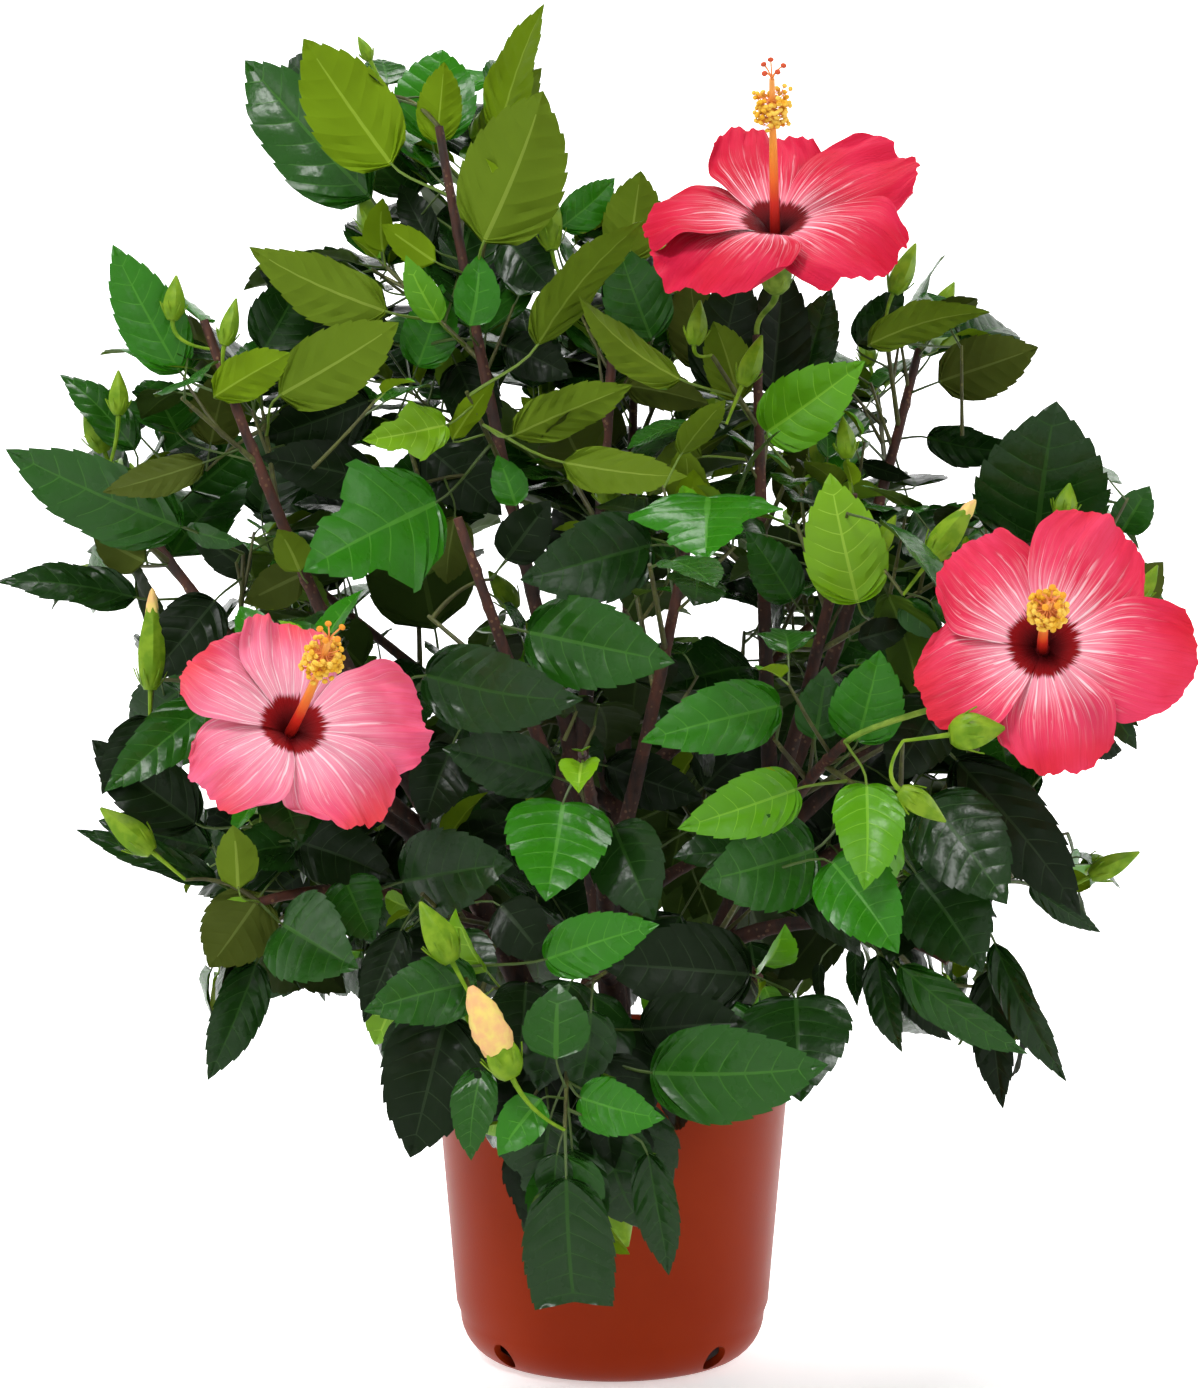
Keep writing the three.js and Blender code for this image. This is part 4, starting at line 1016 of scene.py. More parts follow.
class Skin:
    def __init__(self):
        self.points, self.loops, self.sizes, self.slots, self.places = [], [], [], [], []
        self.count = 0

    def add(self, points, loops, sizes, slots=0, places=None):
        self.points.append(points)
        self.loops.append(loops + self.count)
        self.sizes.append(sizes)
        self.slots.append(np.broadcast_to(slots, sizes.shape))
        self.places.append(np.zeros((len(points), 3)) if places is None else places)
        self.count += len(points)

    def addQuads(self, points, quads, slots=0, places=None):
        self.add(points, quads.ravel(), np.full(len(quads), 4), slots, places)

    def build(self, name, finishes, slotName, sharpAngle=50, replaced=(), placed=False):
        points, loops = np.concatenate(self.points) * mm, np.concatenate(self.loops)
        sizes, slots = np.concatenate(self.sizes), np.concatenate(self.slots)
        mesh = bpy.data.meshes.new(name)
        mesh.vertices.add(len(points))
        mesh.vertices.foreach_set("co", points.ravel())
        mesh.loops.add(len(loops))
        mesh.loops.foreach_set("vertex_index", loops.astype(np.int32))
        mesh.polygons.add(len(sizes))
        mesh.polygons.foreach_set("loop_start", np.concatenate([[0], np.cumsum(sizes)[:-1]]).astype(np.int32))
        mesh.polygons.foreach_set("material_index", slots.astype(np.int32))
        mesh.polygons.foreach_set("use_smooth", np.ones(len(sizes), bool))
        mesh.update(calc_edges=True)
        mesh.validate()
        if placed:
            layer = mesh.attributes.new("place", "FLOAT_VECTOR", "POINT")
            layer.data.foreach_set("vector", np.concatenate(self.places).ravel())
        mesh.set_sharp_from_angle(angle=math.radians(sharpAngle))
        for finish in finishes:
            mesh.materials.append(finish)
        piece = addObject(name, mesh)
        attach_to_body(piece, "root")
        if replaced:
            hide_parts(*replaced)


def addTube(skin, curve, rings, sides, radiusAt, first=0.0, last=1.0, slot=0):
    like = squareTo(unit(curve.at(last) - curve.at(first)))[0]
    angles = np.arange(sides) * 2 * math.pi / sides
    points, places = [], []
    for ring in range(rings):
        share = ring / (rings - 1)
        t = first + (last - first) * share
        side, other = squareTo(curve.tangent(t), like)
        radius = radiusAt(share, angles)
        circle = np.cos(angles)[:, None] * side + np.sin(angles)[:, None] * other
        points.append(curve.at(t) + circle * np.reshape(radius, (-1, 1)))
        places.append(np.stack([np.full(sides, share), angles, np.zeros(sides)], axis=1))
    skin.add(np.concatenate(points), *tubeFaces(rings, sides), slot, np.concatenate(places))


def addTurned(skin, start, axis, profile, sides, slot=0, lobes=None):
    side, other = squareTo(axis)
    angles = np.arange(sides) * 2 * math.pi / sides
    circle = np.cos(angles)[:, None] * side + np.sin(angles)[:, None] * other
    points = []
    for distance, radius in profile:
        if lobes is not None:
            radius = radius * lobes(angles, distance)[:, None]
        points.append(start + axis * distance + circle * radius)
    places = np.repeat(np.linspace(0, 1, len(profile)), sides)[:, None] * np.array([1.0, 0, 0])
    skin.add(np.concatenate(points), *tubeFaces(len(profile), sides), slot, places)


# Shader building: arithmetic on sockets adds Math nodes, and every other node comes from Finish.add.

def linear(part):
    return part / 12.92 if part < 0.04045 else ((part + 0.055) / 1.055) ** 2.4


def tint(red, green, blue):  # a colour given as display values from 0 to 255
    return linear(red / 255), linear(green / 255), linear(blue / 255), 1.0


class Value:
    def __init__(self, finish, socket):
        self.finish, self.socket = finish, socket

    def __add__(self, other):
        return self.finish.combine("ADD", self, other)

    def __sub__(self, other):
        return self.finish.combine("SUBTRACT", self, other)

    def __mul__(self, other):
        return self.finish.combine("MULTIPLY", self, other)

    def __truediv__(self, other):
        return self.finish.combine("DIVIDE", self, other)

    def __radd__(self, other):
        return self.finish.combine("ADD", other, self)

    def __rsub__(self, other):
        return self.finish.combine("SUBTRACT", other, self)

    def __rmul__(self, other):
        return self.finish.combine("MULTIPLY", other, self)

    def __rtruediv__(self, other):
        return self.finish.combine("DIVIDE", other, self)


class Finish:
    def __init__(self, name, plain):
        self.material = bpy.data.materials.new(name)
        self.material.use_nodes = True
        self.tree = self.material.node_tree
        self.shader = self.tree.nodes["Principled BSDF"]
        for socket, value in plain.items():
            self.shader.inputs[socket].default_value = value

    def add(self, kind, settings=None, inputs=None, output=0):
        node = self.tree.nodes.new(kind)
        for name, value in (settings or {}).items():
            if name == "stops":
                ramp = node.color_ramp
                while len(ramp.elements) < len(value):
                    ramp.elements.new(0.5)
                for element, (place, colour) in zip(ramp.elements, value):
                    element.position, element.color = place, colour
            else:
                setattr(node, name, value)
        for key, value in (inputs or {}).items():
            if isinstance(value, Value):
                self.tree.links.new(value.socket, node.inputs[key])
            else:
                node.inputs[key].default_value = value
        return Value(self, node.outputs[output])

    def feed(self, socket, value):
        self.tree.links.new(value.socket, self.shader.inputs[socket])

    def combine(self, operation, first, second):
        return self.add("ShaderNodeMath", {"operation": operation}, {0: first, 1: second})

    def where(self):
        return self.add("ShaderNodeTexCoord", output="Object")

    def meshPlace(self):  # the place that a skin stores with each point
        return self.add("ShaderNodeAttribute", {"attribute_name": "place"}, output="Vector")

    def split(self, vector):
        node = self.add("ShaderNodeSeparateXYZ", {}, {"Vector": vector}).socket.node
        return [Value(self, output) for output in node.outputs]

    def stretch(self, vector, scale):
        return self.add("ShaderNodeMapping", {}, {"Vector": vector, "Scale": scale})

    def noise(self, scale, detail=3.0, vector=None, roughness=0.5):
        return self.add("ShaderNodeTexNoise", {}, {
            "Vector": vector or self.where(), "Scale": scale, "Detail": detail, "Roughness": roughness})

    def spread(self, value, low, high, first=0.0, last=1.0):
        return self.add("ShaderNodeMapRange", {"interpolation_type": "SMOOTHSTEP"}, {
            "Value": value, "From Min": low, "From Max": high, "To Min": first, "To Max": last})

    def mix(self, factor, first, second):
        return self.add("ShaderNodeMix", {"data_type": "RGBA"}, {0: factor, 6: first, 7: second}, output=2)

    def bump(self, height, strength, distance):
        return self.add("ShaderNodeBump", {}, {"Height": height, "Strength": strength, "Distance": distance})


# The leaf's mesh: rows of points follow the side veins from the midrib to the toothed edge.

leafShape = {
    "fan": 0.28,  # the share of the edge whose veins all leave from the blade's foot
    "fanFoot": 0.03,
    "tooth": 0.046,  # the depth of a tooth, as a share of the blade's length
    "quilt": 0.027,
    "thickness": 0.005,
    "veinRow": 0.06,
}


def edgeWidth(m, form):  # the half width at each share of the length, 1 at its widest
    if form == "blunt":
        return m ** 0.42 * (1 - m * 0.55) * (1 - smooth(0.97, 1.0, m)) / 0.62
    width = m ** 0.44 * (1 - m) ** 0.86 / 0.494
    width *= 1 - 0.2 * smooth(0.72, 0.98, m)  # drawn out to a fine tip
    if form == "lobed":
        bulge, waist = np.exp(-((m - 0.42) / 0.08) ** 2), np.exp(-((m - 0.62) / 0.08) ** 2)
        width = width * (1 + 0.3 * bulge - 0.3 * waist)
    return width


def leafTemplate(teeth, columns, form=""):
    steps = []
    for tooth in range(teeth):
        steps += [tooth + leafShape["veinRow"], tooth + 0.5, tooth + 1.0]
    steps = np.array(steps[1:-1])
    m = steps / teeth
    fan = leafShape["fan"]
    midrib = np.where(m < fan, leafShape["fanFoot"] * m / fan,
                      leafShape["fanFoot"] + (1 - leafShape["fanFoot"]) * (m - fan) / (1 - fan))
    part = steps % 1.0
    part[part == 0] = 1.0
    toothAmount = np.where(part > 0.9, 1.0, np.where(part > 0.3, 0.6, 0.0))
    toothSize = leafShape["tooth"] * smooth(0.16, 0.4, m) * (1 - 0.55 * m)
    sides = np.concatenate([-np.array(columns)[::-1], np.array(columns)])
    share = np.abs(sides)
    edgeAlong = m ** 0.92 + toothSize * toothAmount * 0.55
    edgeAcross = edgeWidth(m, form) + toothSize * toothAmount * 1.4
    along = midrib[:, None] + (edgeAlong - midrib)[:, None] * share[None] ** 1.25
    across = np.sign(sides)[None] * edgeAcross[:, None] * share[None] ** 0.95
    ridge = np.where((part > 0.3) & (part < 0.9), 1.0, 0.0)
    quilt = ridge[:, None] * (4 * share * (1 - share) * 0.9 + 0.12)[None] * (1 - 0.5 * m)[:, None]
    rows, width = along.shape
    flat = np.stack([along.ravel(), across.ravel(), quilt.ravel()], axis=1)
    flat = np.concatenate([flat, [[0, 0, 0], [0.9 if form == "blunt" else 1.02, 0, 0]]])
    edge = np.zeros(len(flat), bool)
    edge[:rows * width] = np.tile(share == 1, rows)
    edge[-2:] = True
    under = np.arange(len(flat))
    inner = np.flatnonzero(~edge)
    under[inner] = len(flat) + np.arange(len(inner))
    points = np.concatenate([flat, flat[inner]])
    lower = np.concatenate([np.zeros(len(flat)), np.ones(len(inner))])
    quads = gridFaces(rows, width)
    quadRow, quadColumn = np.divmod(np.arange(len(quads)), width - 1)
    middle = len(columns) - 1
    foot, tip = rows * width, rows * width + 1
    upper = [list(quad[::-1]) for quad in quads]
    kinds = []
    for row, column in zip(quadRow, quadColumn):
        onMidrib = column == middle and row < rows - 3
        onVein = part[row] == 1.0 and 0 < column < width - 2
        kinds.append(2 if onMidrib or onVein else 0)
    for column in range(width - 1):
        upper.append([foot, column + 1, column])
        upper.append([(rows - 1) * width + column, (rows - 1) * width + column + 1, tip])
        kinds += [2 if column == middle else 0, 0]
    # the underside is split along the same diagonals
    faces = upper + [[under[p] for p in face[:1] + face[:0:-1]] for face in upper]
    lowerKinds = [3 if kind == 2 and index % (width - 1) == middle else 1 for index, kind in enumerate(kinds)]
    return {
        "points": points, "lower": lower, "kinds": np.array(kinds + lowerKinds),
        "loops": np.concatenate([np.array(face) for face in faces]),
        "sizes": np.array([len(face) for face in faces]),
    }


matureTemplate = leafTemplate(7, (0.04, 0.36, 0.7, 1.0))
placedColumns = (0.035, 0.26, 0.5, 0.76, 1.0)
placedTemplates = {form: leafTemplate(9, placedColumns, form) for form in ("", "lobed", "blunt")}
youngTemplate = leafTemplate(5, (0.07, 0.55, 1.0))


def leafPoints(template, blade, random, fold, bend, wave):
    length, half = blade["length"], blade["halfWidth"]
    along, across, quilt = template["points"].T
    x = along * length
    y = across * half
    z = quilt * leafShape["quilt"] * length
    z = z + fold * np.abs(y) - 0.3 * fold * y * y / half
    phase = random() * 6.3
    z = z + (wave * length * across * across * np.sin(along * 13 + phase + np.sign(across) * 1.3)
             * smooth(0, 0.2, along))
    z = z - template["lower"] * leafShape["thickness"] * length
    skew = random(-0.5, 0.5)  # the blade swings a little to one side
    y = y + skew * 0.1 * length * along * along
    radius = length / bend
    angle = x / radius
    x, z = np.sin(angle) * (radius + z), np.cos(angle) * (radius + z) - radius
    roll = random(-0.35, 0.35) * along
    y, z = y * np.cos(roll) - z * np.sin(roll), y * np.sin(roll) + z * np.cos(roll)
    ahead, side, normal = blade["ahead"], blade["side"], blade["normal"]
    return blade["base"] + x[:, None] * ahead + y[:, None] * side + z[:, None] * normal


# Leaf finishes: each shade is a plain colour for the upper side, the underside and the veins.
# The shades are partly the leaves' own greens, darker on old leaves and paler on young ones and on
# undersides, and partly painted light and shade: the darkest are painted shade for leaves inside the
# crown, the dull dark underside shade is the olive underside in painted shade, and olive, fresh and
# bright hold painted light of leaves lit from behind.

leafShades = {  # upper side, underside, veins above, ribs below, roughness of the upper side
    "deep": ((17, 32, 11), (38, 54, 18), (28, 48, 18), (52, 70, 28), 0.3),
    "dark": ((21, 52, 12), (50, 72, 20), (38, 74, 22), (70, 94, 34), 0.27),
    "middle": ((31, 80, 14), (70, 98, 22), (56, 106, 32), (96, 126, 44), 0.27),
    "rich": ((42, 112, 12), (88, 120, 24), (70, 136, 36), (114, 146, 48), 0.28),
    "fresh": ((82, 144, 14), (108, 138, 14), (112, 168, 40), (136, 164, 44), 0.32),
    "bright": ((112, 160, 16), (118, 150, 18), (146, 186, 56), (150, 176, 54), 0.36),
    "olive": ((70, 112, 20), (94, 118, 24), (98, 136, 42), (122, 144, 50), 0.34),
    "dusk": ((44, 62, 20), (68, 80, 24), (60, 80, 32), (90, 104, 44), 0.36),
}
shadeNames = list(leafShades)


def leafFinish(name, colour, roughness, grain, shine):
    finish = Finish(name, {"Base Color": tint(*colour), "Roughness": roughness, "Specular IOR Level": shine})
    height = finish.noise(330.0, 2.0) * 0.5 + finish.noise(90.0, 2.0) * 2.6
    finish.feed("Normal", finish.bump(height, grain, 0.0006))
    finish.feed("Roughness", roughness - 0.08 + finish.noise(60.0, 3.0) * 0.16)
    return finish.material


leafFinishes = []
for shade, (upper, under, vein, rib, roughness) in leafShades.items():
    leafFinishes += [
        leafFinish("leafTop_" + shade, upper, roughness, 0.4, 0.12 if shade == "deep" else 0.26),
        leafFinish("leafUnder_" + shade, under, 0.62, 0.2, 0.08),
        leafFinish("leafVein_" + shade, vein, roughness + 0.1, 0.2, 0.2),
        leafFinish("leafRib_" + shade, rib, 0.6, 0.2, 0.1),
    ]


# A leaf's shade follows its age, and also its place as painted light and shade: lower and inner leaves get
# darker shades as painted shade, higher and outer ones paler shades as painted light. An underside that faces
# the front is olive, or the same olive in painted shade.
def shadeByAgeAndPaintedLight(blade, random):  # low, inner leaves darker, high, outer ones paler
    height = mapRange(blade["base"][2], 200, 800, 0, 1)
    outer = clamp(np.hypot(blade["base"][0], blade["base"][1]) / 330)
    level = -0.5 + 1.7 * height + 1.2 * outer + 1.2 * (1 - blade["age"]) + random(-0.9, 0.9)
    if blade["normal"][1] > 0.25 and height > 0.55:  # its underside faces the front
        return "olive" if random() < 0.6 else "dusk"
    return ("deep", "dark", "middle", "rich", "fresh")[int(clamp(round(level), 0, 4))]


leafSkins = [Skin() for _ in masses]
stalkSkin = Skin()


def addLeaf(blade, template, random, shade, fold, bend, wave):
    points = leafPoints(template, blade, random, fold, bend, wave)
    kinds = template["kinds"] + 4 * shadeNames.index(shade)
    leafSkins[blade["mass"]].add(points, template["loops"], template["sizes"], kinds)
    reach = np.linalg.norm(blade["base"] - blade["node"])
    curve = Curve(blade["node"], blade["node"] + blade["stalk"] * reach * 0.4,
                  blade["base"] - blade["ahead"] * reach * 0.25, blade["base"] + blade["ahead"] * 2)
    thick = leaf["petioleRadius"] * (0.45 + 0.55 * blade["length"] / leaf["length"])
    # The paler stalk goes with the pale leaf shades, so it holds some of their painted light.
    slot = 1 if shade in ("fresh", "bright", "olive") else 0
    addTube(stalkSkin, curve, 6, 5, lambda share, angles: thick * (1.25 - 0.4 * share), slot=slot)


random = RandomStream(77)
for blade in placed:
    bend = random(0.25, 0.6)  # the blade arches, and its tip still ends where the plan puts it
    stretch = (bend / 2) / math.sin(bend / 2)
    ahead, normal = blade["ahead"], blade["normal"]
    arched = {**blade, "length": blade["length"] * stretch,
              "ahead": ahead * math.cos(bend / 2) + normal * math.sin(bend / 2),
              "normal": normal * math.cos(bend / 2) - ahead * math.sin(bend / 2)}
    small = blade["length"] < 48 and blade["form"] == ""
    addLeaf(arched, youngTemplate if small else placedTemplates[blade["form"]], random, blade["shade"],
            random(0.08, 0.4), bend, random(0.02, 0.042))
for blade in blades.records[len(placed):]:
    low = clamp(mapRange(blade["base"][2], 250, 700, 1, 0))
    template = placedTemplates["lobed"] if random() < 0.06 else matureTemplate
    addLeaf(blade, template, random, shadeByAgeAndPaintedLight(blade, random), random(0.05, 0.34),
            0.25 + 0.5 * low * random() + 0.3 * random(), random(0.015, 0.035))
for blade in youngLeaves:
    shade = "bright" if random() < 0.3 else "fresh" if random() < 0.6 else "rich"
    addLeaf(blade, youngTemplate, random, shade, random(0.35, 0.8), 0.2 + 0.5 * random(), 0.02)
for mass, skin in zip(masses, leafSkins):
    skin.build("leaves_" + mass["name"], leafFinishes, "foliage", 40, ["mass_" + mass["name"]])
print("leaf meshes built:", sum(len(np.concatenate(skin.sizes)) for skin in leafSkins), "faces")


# Wood: stems and boughs with ridges, leaf scars and pores, then the shoots and leaf stalks.

scarSpacing = 21


def barkRelief(length, seed, depth):
    random = RandomStream(seed)
    scars = []
    for k in range(int(length / scarSpacing) + 1):
        place = length * (k + 0.5) * scarSpacing / max(length, scarSpacing)
        scars.append((place, k * goldenAngle + random()))
    phases = [random() * 6.3 for _ in range(4)]

    def relief(distance, angles):
        ridges = np.sin(5 * angles + distance * 0.09 + phases[0])
        ridges = ridges + 0.7 * np.sin(9 * angles - distance * 0.14 + phases[1])
        rings = np.sin(distance * 1.1 + phases[2] + 0.8 * np.sin(3 * angles + phases[3]))
        total = 0.16 * ridges + 0.1 * rings
        for place, turn in scars:
            aside = np.angle(np.exp(1j * (angles - turn)))
            total = total + 1.9 * np.exp(-((distance - place) / 2.6) ** 2 - (aside / 0.55) ** 2)
            total = total + 0.35 * np.exp(-((distance - place) / 1.4) ** 2)
        return total * depth

    return relief


def addLimb(skin, curve, first, last, radius, tipRadius, sides, spacing, depth, seed, slot=0, flare=0.0):
    length = curve.length() * (last - first)
    relief = barkRelief(length, seed, depth)

    def radiusAt(share, angles):
        swell = flare * math.exp(-9 * share) * (1 + 0.25 * np.sin(3 * angles + seed))
        return radius + (tipRadius - radius) * share + swell + relief(share * length, angles)

    addTube(skin, curve, max(4, int(length / spacing)), sides, radiusAt, first, last, slot)


def woodFinish(name, dark, light, pore, roughness, relief):
    finish = Finish(name, {"Roughness": roughness})
    grain = finish.noise(170.0, 5.0, finish.stretch(finish.where(), (1.0, 1.0, 0.25)), 0.65)
    patches = finish.noise(38.0, 2.0)
    dots = finish.add("ShaderNodeTexVoronoi", {}, {
        "Vector": finish.where(), "Scale": 240.0, "Randomness": 1.0})
    spots = finish.spread(dots, 0.2, 0.28, 1.0, 0.0)
    base = finish.mix(finish.spread(grain * 0.6 + patches * 0.4, 0.36, 0.64), tint(*dark), tint(*light))
    finish.feed("Base Color", finish.mix(spots * finish.spread(patches, 0.4, 0.6) * 0.8, base, tint(*pore)))
    finish.feed("Roughness", roughness - 0.1 + grain * 0.2)
    finish.feed("Normal", finish.bump(grain + spots * 0.4, relief, 0.0008))
    return finish.material


stemSkin, boughSkin = Skin(), Skin()
for number, stem in enumerate(stems.values()):
    addLimb(stemSkin, stem["curve"], 0, 1, bark["stemFoot"], bark["stemTop"], 26, 1.8, 0.75, 11 + number,
            flare=bark["flare"])
for number, mass in enumerate(masses):
    addLimb(boughSkin, mass["curve"], 0, mass["bare"] + 0.01, bark["bough"], bark["boughTip"], 18, 2.0, 0.6,
            31 + number)
oldBark = woodFinish("oldBark", (26, 15, 10), (66, 36, 24), (104, 76, 56), 0.8, 0.7)
youngBark = woodFinish("youngBark", (38, 18, 11), (82, 40, 24), (120, 86, 56), 0.7, 0.5)
stemSkin.build("bark_stems", [oldBark], "bark", 60, ["stem_" + name for name in stems])
boughSkin.build("bark_boughs", [oldBark], "bark", 60, ["bough_" + mass["name"] for mass in masses])

shootSkin = Skin()
shootMeshes = {  # sides, the space between rings, and the depth of the relief
    "spine": (12, 2.6, 0.42), "twig": (9, 4, 0.26), "fine": (6, 7, 0.16), "link": (8, 5, 0.2),
}
for number, mass in enumerate(masses):
    for order, shoot in enumerate(mass["shoots"]):
        if shoot["end"] <= shoot["from"] + 0.05:  # a twig that found no room for leaves
            continue
        sides, spacing, depth = shootMeshes[shoot["kind"]]
        addLimb(shootSkin, shoot["curve"], shoot["from"], shoot["end"], shoot["radius"], shoot["tipRadius"],
                sides, spacing, depth, 100 + 17 * number + order, slot=0 if shoot["kind"] == "spine" else 1)


def plainStalk(name, colour, roughness):
    finish = Finish(name, {"Base Color": tint(*colour), "Roughness": roughness})
    finish.feed("Normal", finish.bump(finish.noise(500.0, 3.0), 0.3, 0.0003))
    return finish.material


greenWood = woodFinish("greenWood", (60, 58, 24), (84, 90, 34), (116, 112, 56), 0.55, 0.3)
shootSkin.build("shoots", [youngBark, greenWood], "bark", 60)
stalkFinishes = [plainStalk("oldStalk", (66, 88, 30), 0.5), plainStalk("youngStalk", (104, 132, 40), 0.45)]
stalkSkin.build("leaf_stalks", stalkFinishes, "foliage", 60)
print("wood built")


# Buds: a pointed green case with seams, a whorl of narrow bracts, and on some a twist of petal showing.

budShape = {"length": 34, "radius": 9, "stalk": 34, "stalkRadius": 1.1, "bracts": 7}
budSkin = Skin()


def addBract(skin, foot, out, axis, length, width, slot):
    curve = Curve(foot, foot + axis * length * 0.3 + out * length * 0.35,
                  foot + axis * length * 0.9 + out * length * 0.55)
    across = unit(np.cross(axis, out))
    rings, points = 7, []
    for t in np.linspace(0, 1, rings):
        half = width * math.sin(math.pi * min(0.97, 0.18 + 0.8 * t)) ** 0.8
        centre = curve.at(t)
        points += [centre - across * half, centre + out * 0.5, centre + across * half, centre - out * 0.5]
    skin.add(np.array(points), *tubeFaces(rings, 4), slot)


def addBud(root, heading, base, size, showing=0.0, length=None):
    side, other = squareTo(heading)
    stalk = Curve(root, base - heading * np.linalg.norm(base - root) * 0.5, base + heading)
    addTube(budSkin, stalk, 9, 7, lambda share, angles: budShape["stalkRadius"] * (0.9 + 0.6 * share ** 2))
    length, radius = length or budShape["length"] * size, budShape["radius"] * size
    opening = showing > 0.5
    green = 1 - 0.42 * opening  # the share of the length that the case covers

    def ribs(angles, distance):
        return 1 + 0.1 * np.cos(5 * angles) * math.sin(math.pi * clamp(distance / length))

    def twist(angles, distance):
        return 1 + 0.1 * np.sin(5 * angles + distance * 0.35)

    profile = []
    for p in np.linspace(0, 1, 14):
        wide = math.sin(math.pi * min(1, 0.12 + 0.86 * p ** 0.85)) ** 0.85
        profile.append((length * green * p, radius * (wide * (1 - 0.3 * p) + 0.02)))
    addTurned(budSkin, base, heading, profile, 15, 0, lobes=ribs)
    if showing:  # the rolled petals stand out of the case
        start, thick = (0.3, 0.92) if opening else (0.7, 0.42)
        rolled = [(length * (start + (1.04 - start) * p),
                   radius * thick * (math.sin(math.pi * min(1, 0.3 + 0.68 * p)) ** 0.7 + 0.02))
                  for p in np.linspace(0, 1, 12)]
        addTurned(budSkin, base, heading, rolled, 15, 1, lobes=twist)
    for i in range(budShape["bracts"]):
        out = around(side, other, i * 2 * math.pi / budShape["bracts"])
        addBract(budSkin, base + out * radius * 0.3, out, heading, 15 * size, 1.3 * size, 0)


for place in budPlaces:
    addBud(place["node"], place["heading"], place["foot"], place["size"], place["showing"], place["length"])
budCount = len(budPlaces)
for index, mass in enumerate(masses):
    random = RandomStream(3000 + index)
    tips = [shoot for shoot in mass["shoots"] if shoot["kind"] in ("spine", "twig") and shoot["end"] == 1.0]
    high = mass["tip"][2] > 380
    wanted = mass["buds"] + (2 if high else 0)
    for shoot in tips[::-1][:wanted]:
        root, axis = shoot["curve"].at(0.985), shoot["curve"].tangent(1)
        side, other = squareTo(axis)
        for _ in range(6):
            heading = unit(axis * 0.8 + around(side, other, random() * 2 * math.pi) * 0.4 + up * 0.5)
            size, stalk = random(0.7, 1.05), budShape["stalk"] * random(0.6, 1.2)
            end = root + heading * (stalk + budShape["length"] * size)
            places = np.array([root + (end - root) * t for t in (0.5, 0.75, 1.0)])
            if (insideSpace(index, end, slack["bud"])
                    and obstacles.clearOf(root, end, budShape["radius"] * 0.7)
                    and keepsFrontOpen(places) and not coversPlaced(places)
                    and not blades.piercedBy(root, end)):
                addBud(root, heading, root + heading * stalk, size)
                for t in (0.4, 0.7, 1.0):
                    obstacles.add(root + (end - root) * t, budShape["radius"])
                budCount += 1
                break


def budFinish(name, low, high, roughness):
    finish = Finish(name, {"Roughness": roughness, "Specular IOR Level": 0.15})
    patches = finish.spread(finish.noise(120.0, 3.0), 0.35, 0.65)
    finish.feed("Base Color", finish.mix(patches, tint(*low), tint(*high)))
    finish.feed("Normal", finish.bump(finish.noise(420.0, 4.0), 0.4, 0.0004))
    return finish.material


budGreen = budFinish("budGreen", (98, 136, 22), (124, 156, 34), 0.42)
budPetal = budFinish("budPetal", (232, 208, 116), (230, 178, 122), 0.5)
budSkin.build("buds", [budGreen, budPetal], "foliage", 50)
print("buds built:", budCount)


# Large flowers: five ruffled petals that overlap like a pinwheel, a long column with anthers, a green calyx.

petal = {
    "length": 78, "halfWidth": 36, "start": 3, "rows": 46, "columns": 41, "overlap": 0.14, "thickness": 0.5,
}
circleTurn = 6.3  # a little over a full turn, for a random place in a wave


def petalPoints(bloom, index, random):
    axis, side, other, centre, size = bloomFrame(bloom)
    out = petalDirection(side, other, bloom["turn"] + bloom["spread"][index], index)
    across = np.cross(axis, out)
    s, t = np.meshgrid(np.linspace(0, 1, petal["rows"]), np.linspace(-1, 1, petal["columns"]), indexing="ij")
    notch = 0.014 * np.sin(7 * t + random() * 6) + 0.009 * np.sin(21 * t + random() * 6)
    notch = notch + 0.005 * np.sin(45 * t)
    lobes = 1 - 0.22 * np.abs(t - random(-0.15, 0.15)) ** 2.6 + notch * random(0.7, 1.3)
    along = s * lobes
    radius = petal["start"] + petal["length"] * along * bloom["reach"][index]
    height = -15 + 34 * along ** 0.6 - bloom["recurve"] * along ** 2
    width = 4 + (petal["halfWidth"] - 4) * np.sin(np.clip(s / 0.74, 0, 1) * math.pi / 2) ** 1.15
    width = width * (1 - 0.1 * smooth(0.8, 1, s)) * (1 + 0.02 * np.sin(13 * s + random() * 6))
    width = width * bloom["breadth"][index]
    edge = smooth(0.4, 1, np.abs(t))
    wave = smooth(0.35, 1, s) * (2.8 * np.sin(5.2 * t + random() * circleTurn)
                                 + 1.5 * np.sin(11 * t + random() * circleTurn + 3 * s))
    wave += smooth(0.25, 1, s) * edge * 3.4 * np.sin(9 * s + random() * circleTurn)
    wave += smooth(0.7, 1, s) * 0.9 * np.sin(26 * t + 5 * s + random() * circleTurn)
    curl = random(-5, 9) * smooth(0.7, 1, s) * smooth(-0.2, 1, t * (1 if random() < 0.5 else -1))
    folds = 0.45 * np.cos(t * 15 + random() * circleTurn) + 0.35 * np.cos(t * 27 + random() * circleTurn)
    veins = folds * smooth(0.2, 0.5, s)
    height = height + t * width * petal["overlap"] + wave * bloom["ruffle"] + curl + veins
    height = height - bloom["droop"][index] * along ** 2 * 30
    points = (centre + (out[None, None] * radius[..., None] + across[None, None] * (t * width)[..., None]
                        + axis[None, None] * height[..., None]) * size)
    fromAxis = np.hypot(radius, t * width)
    places = np.stack([along, t + 2.5 * index, fromAxis / petal["length"]], axis=2)
    return points, places


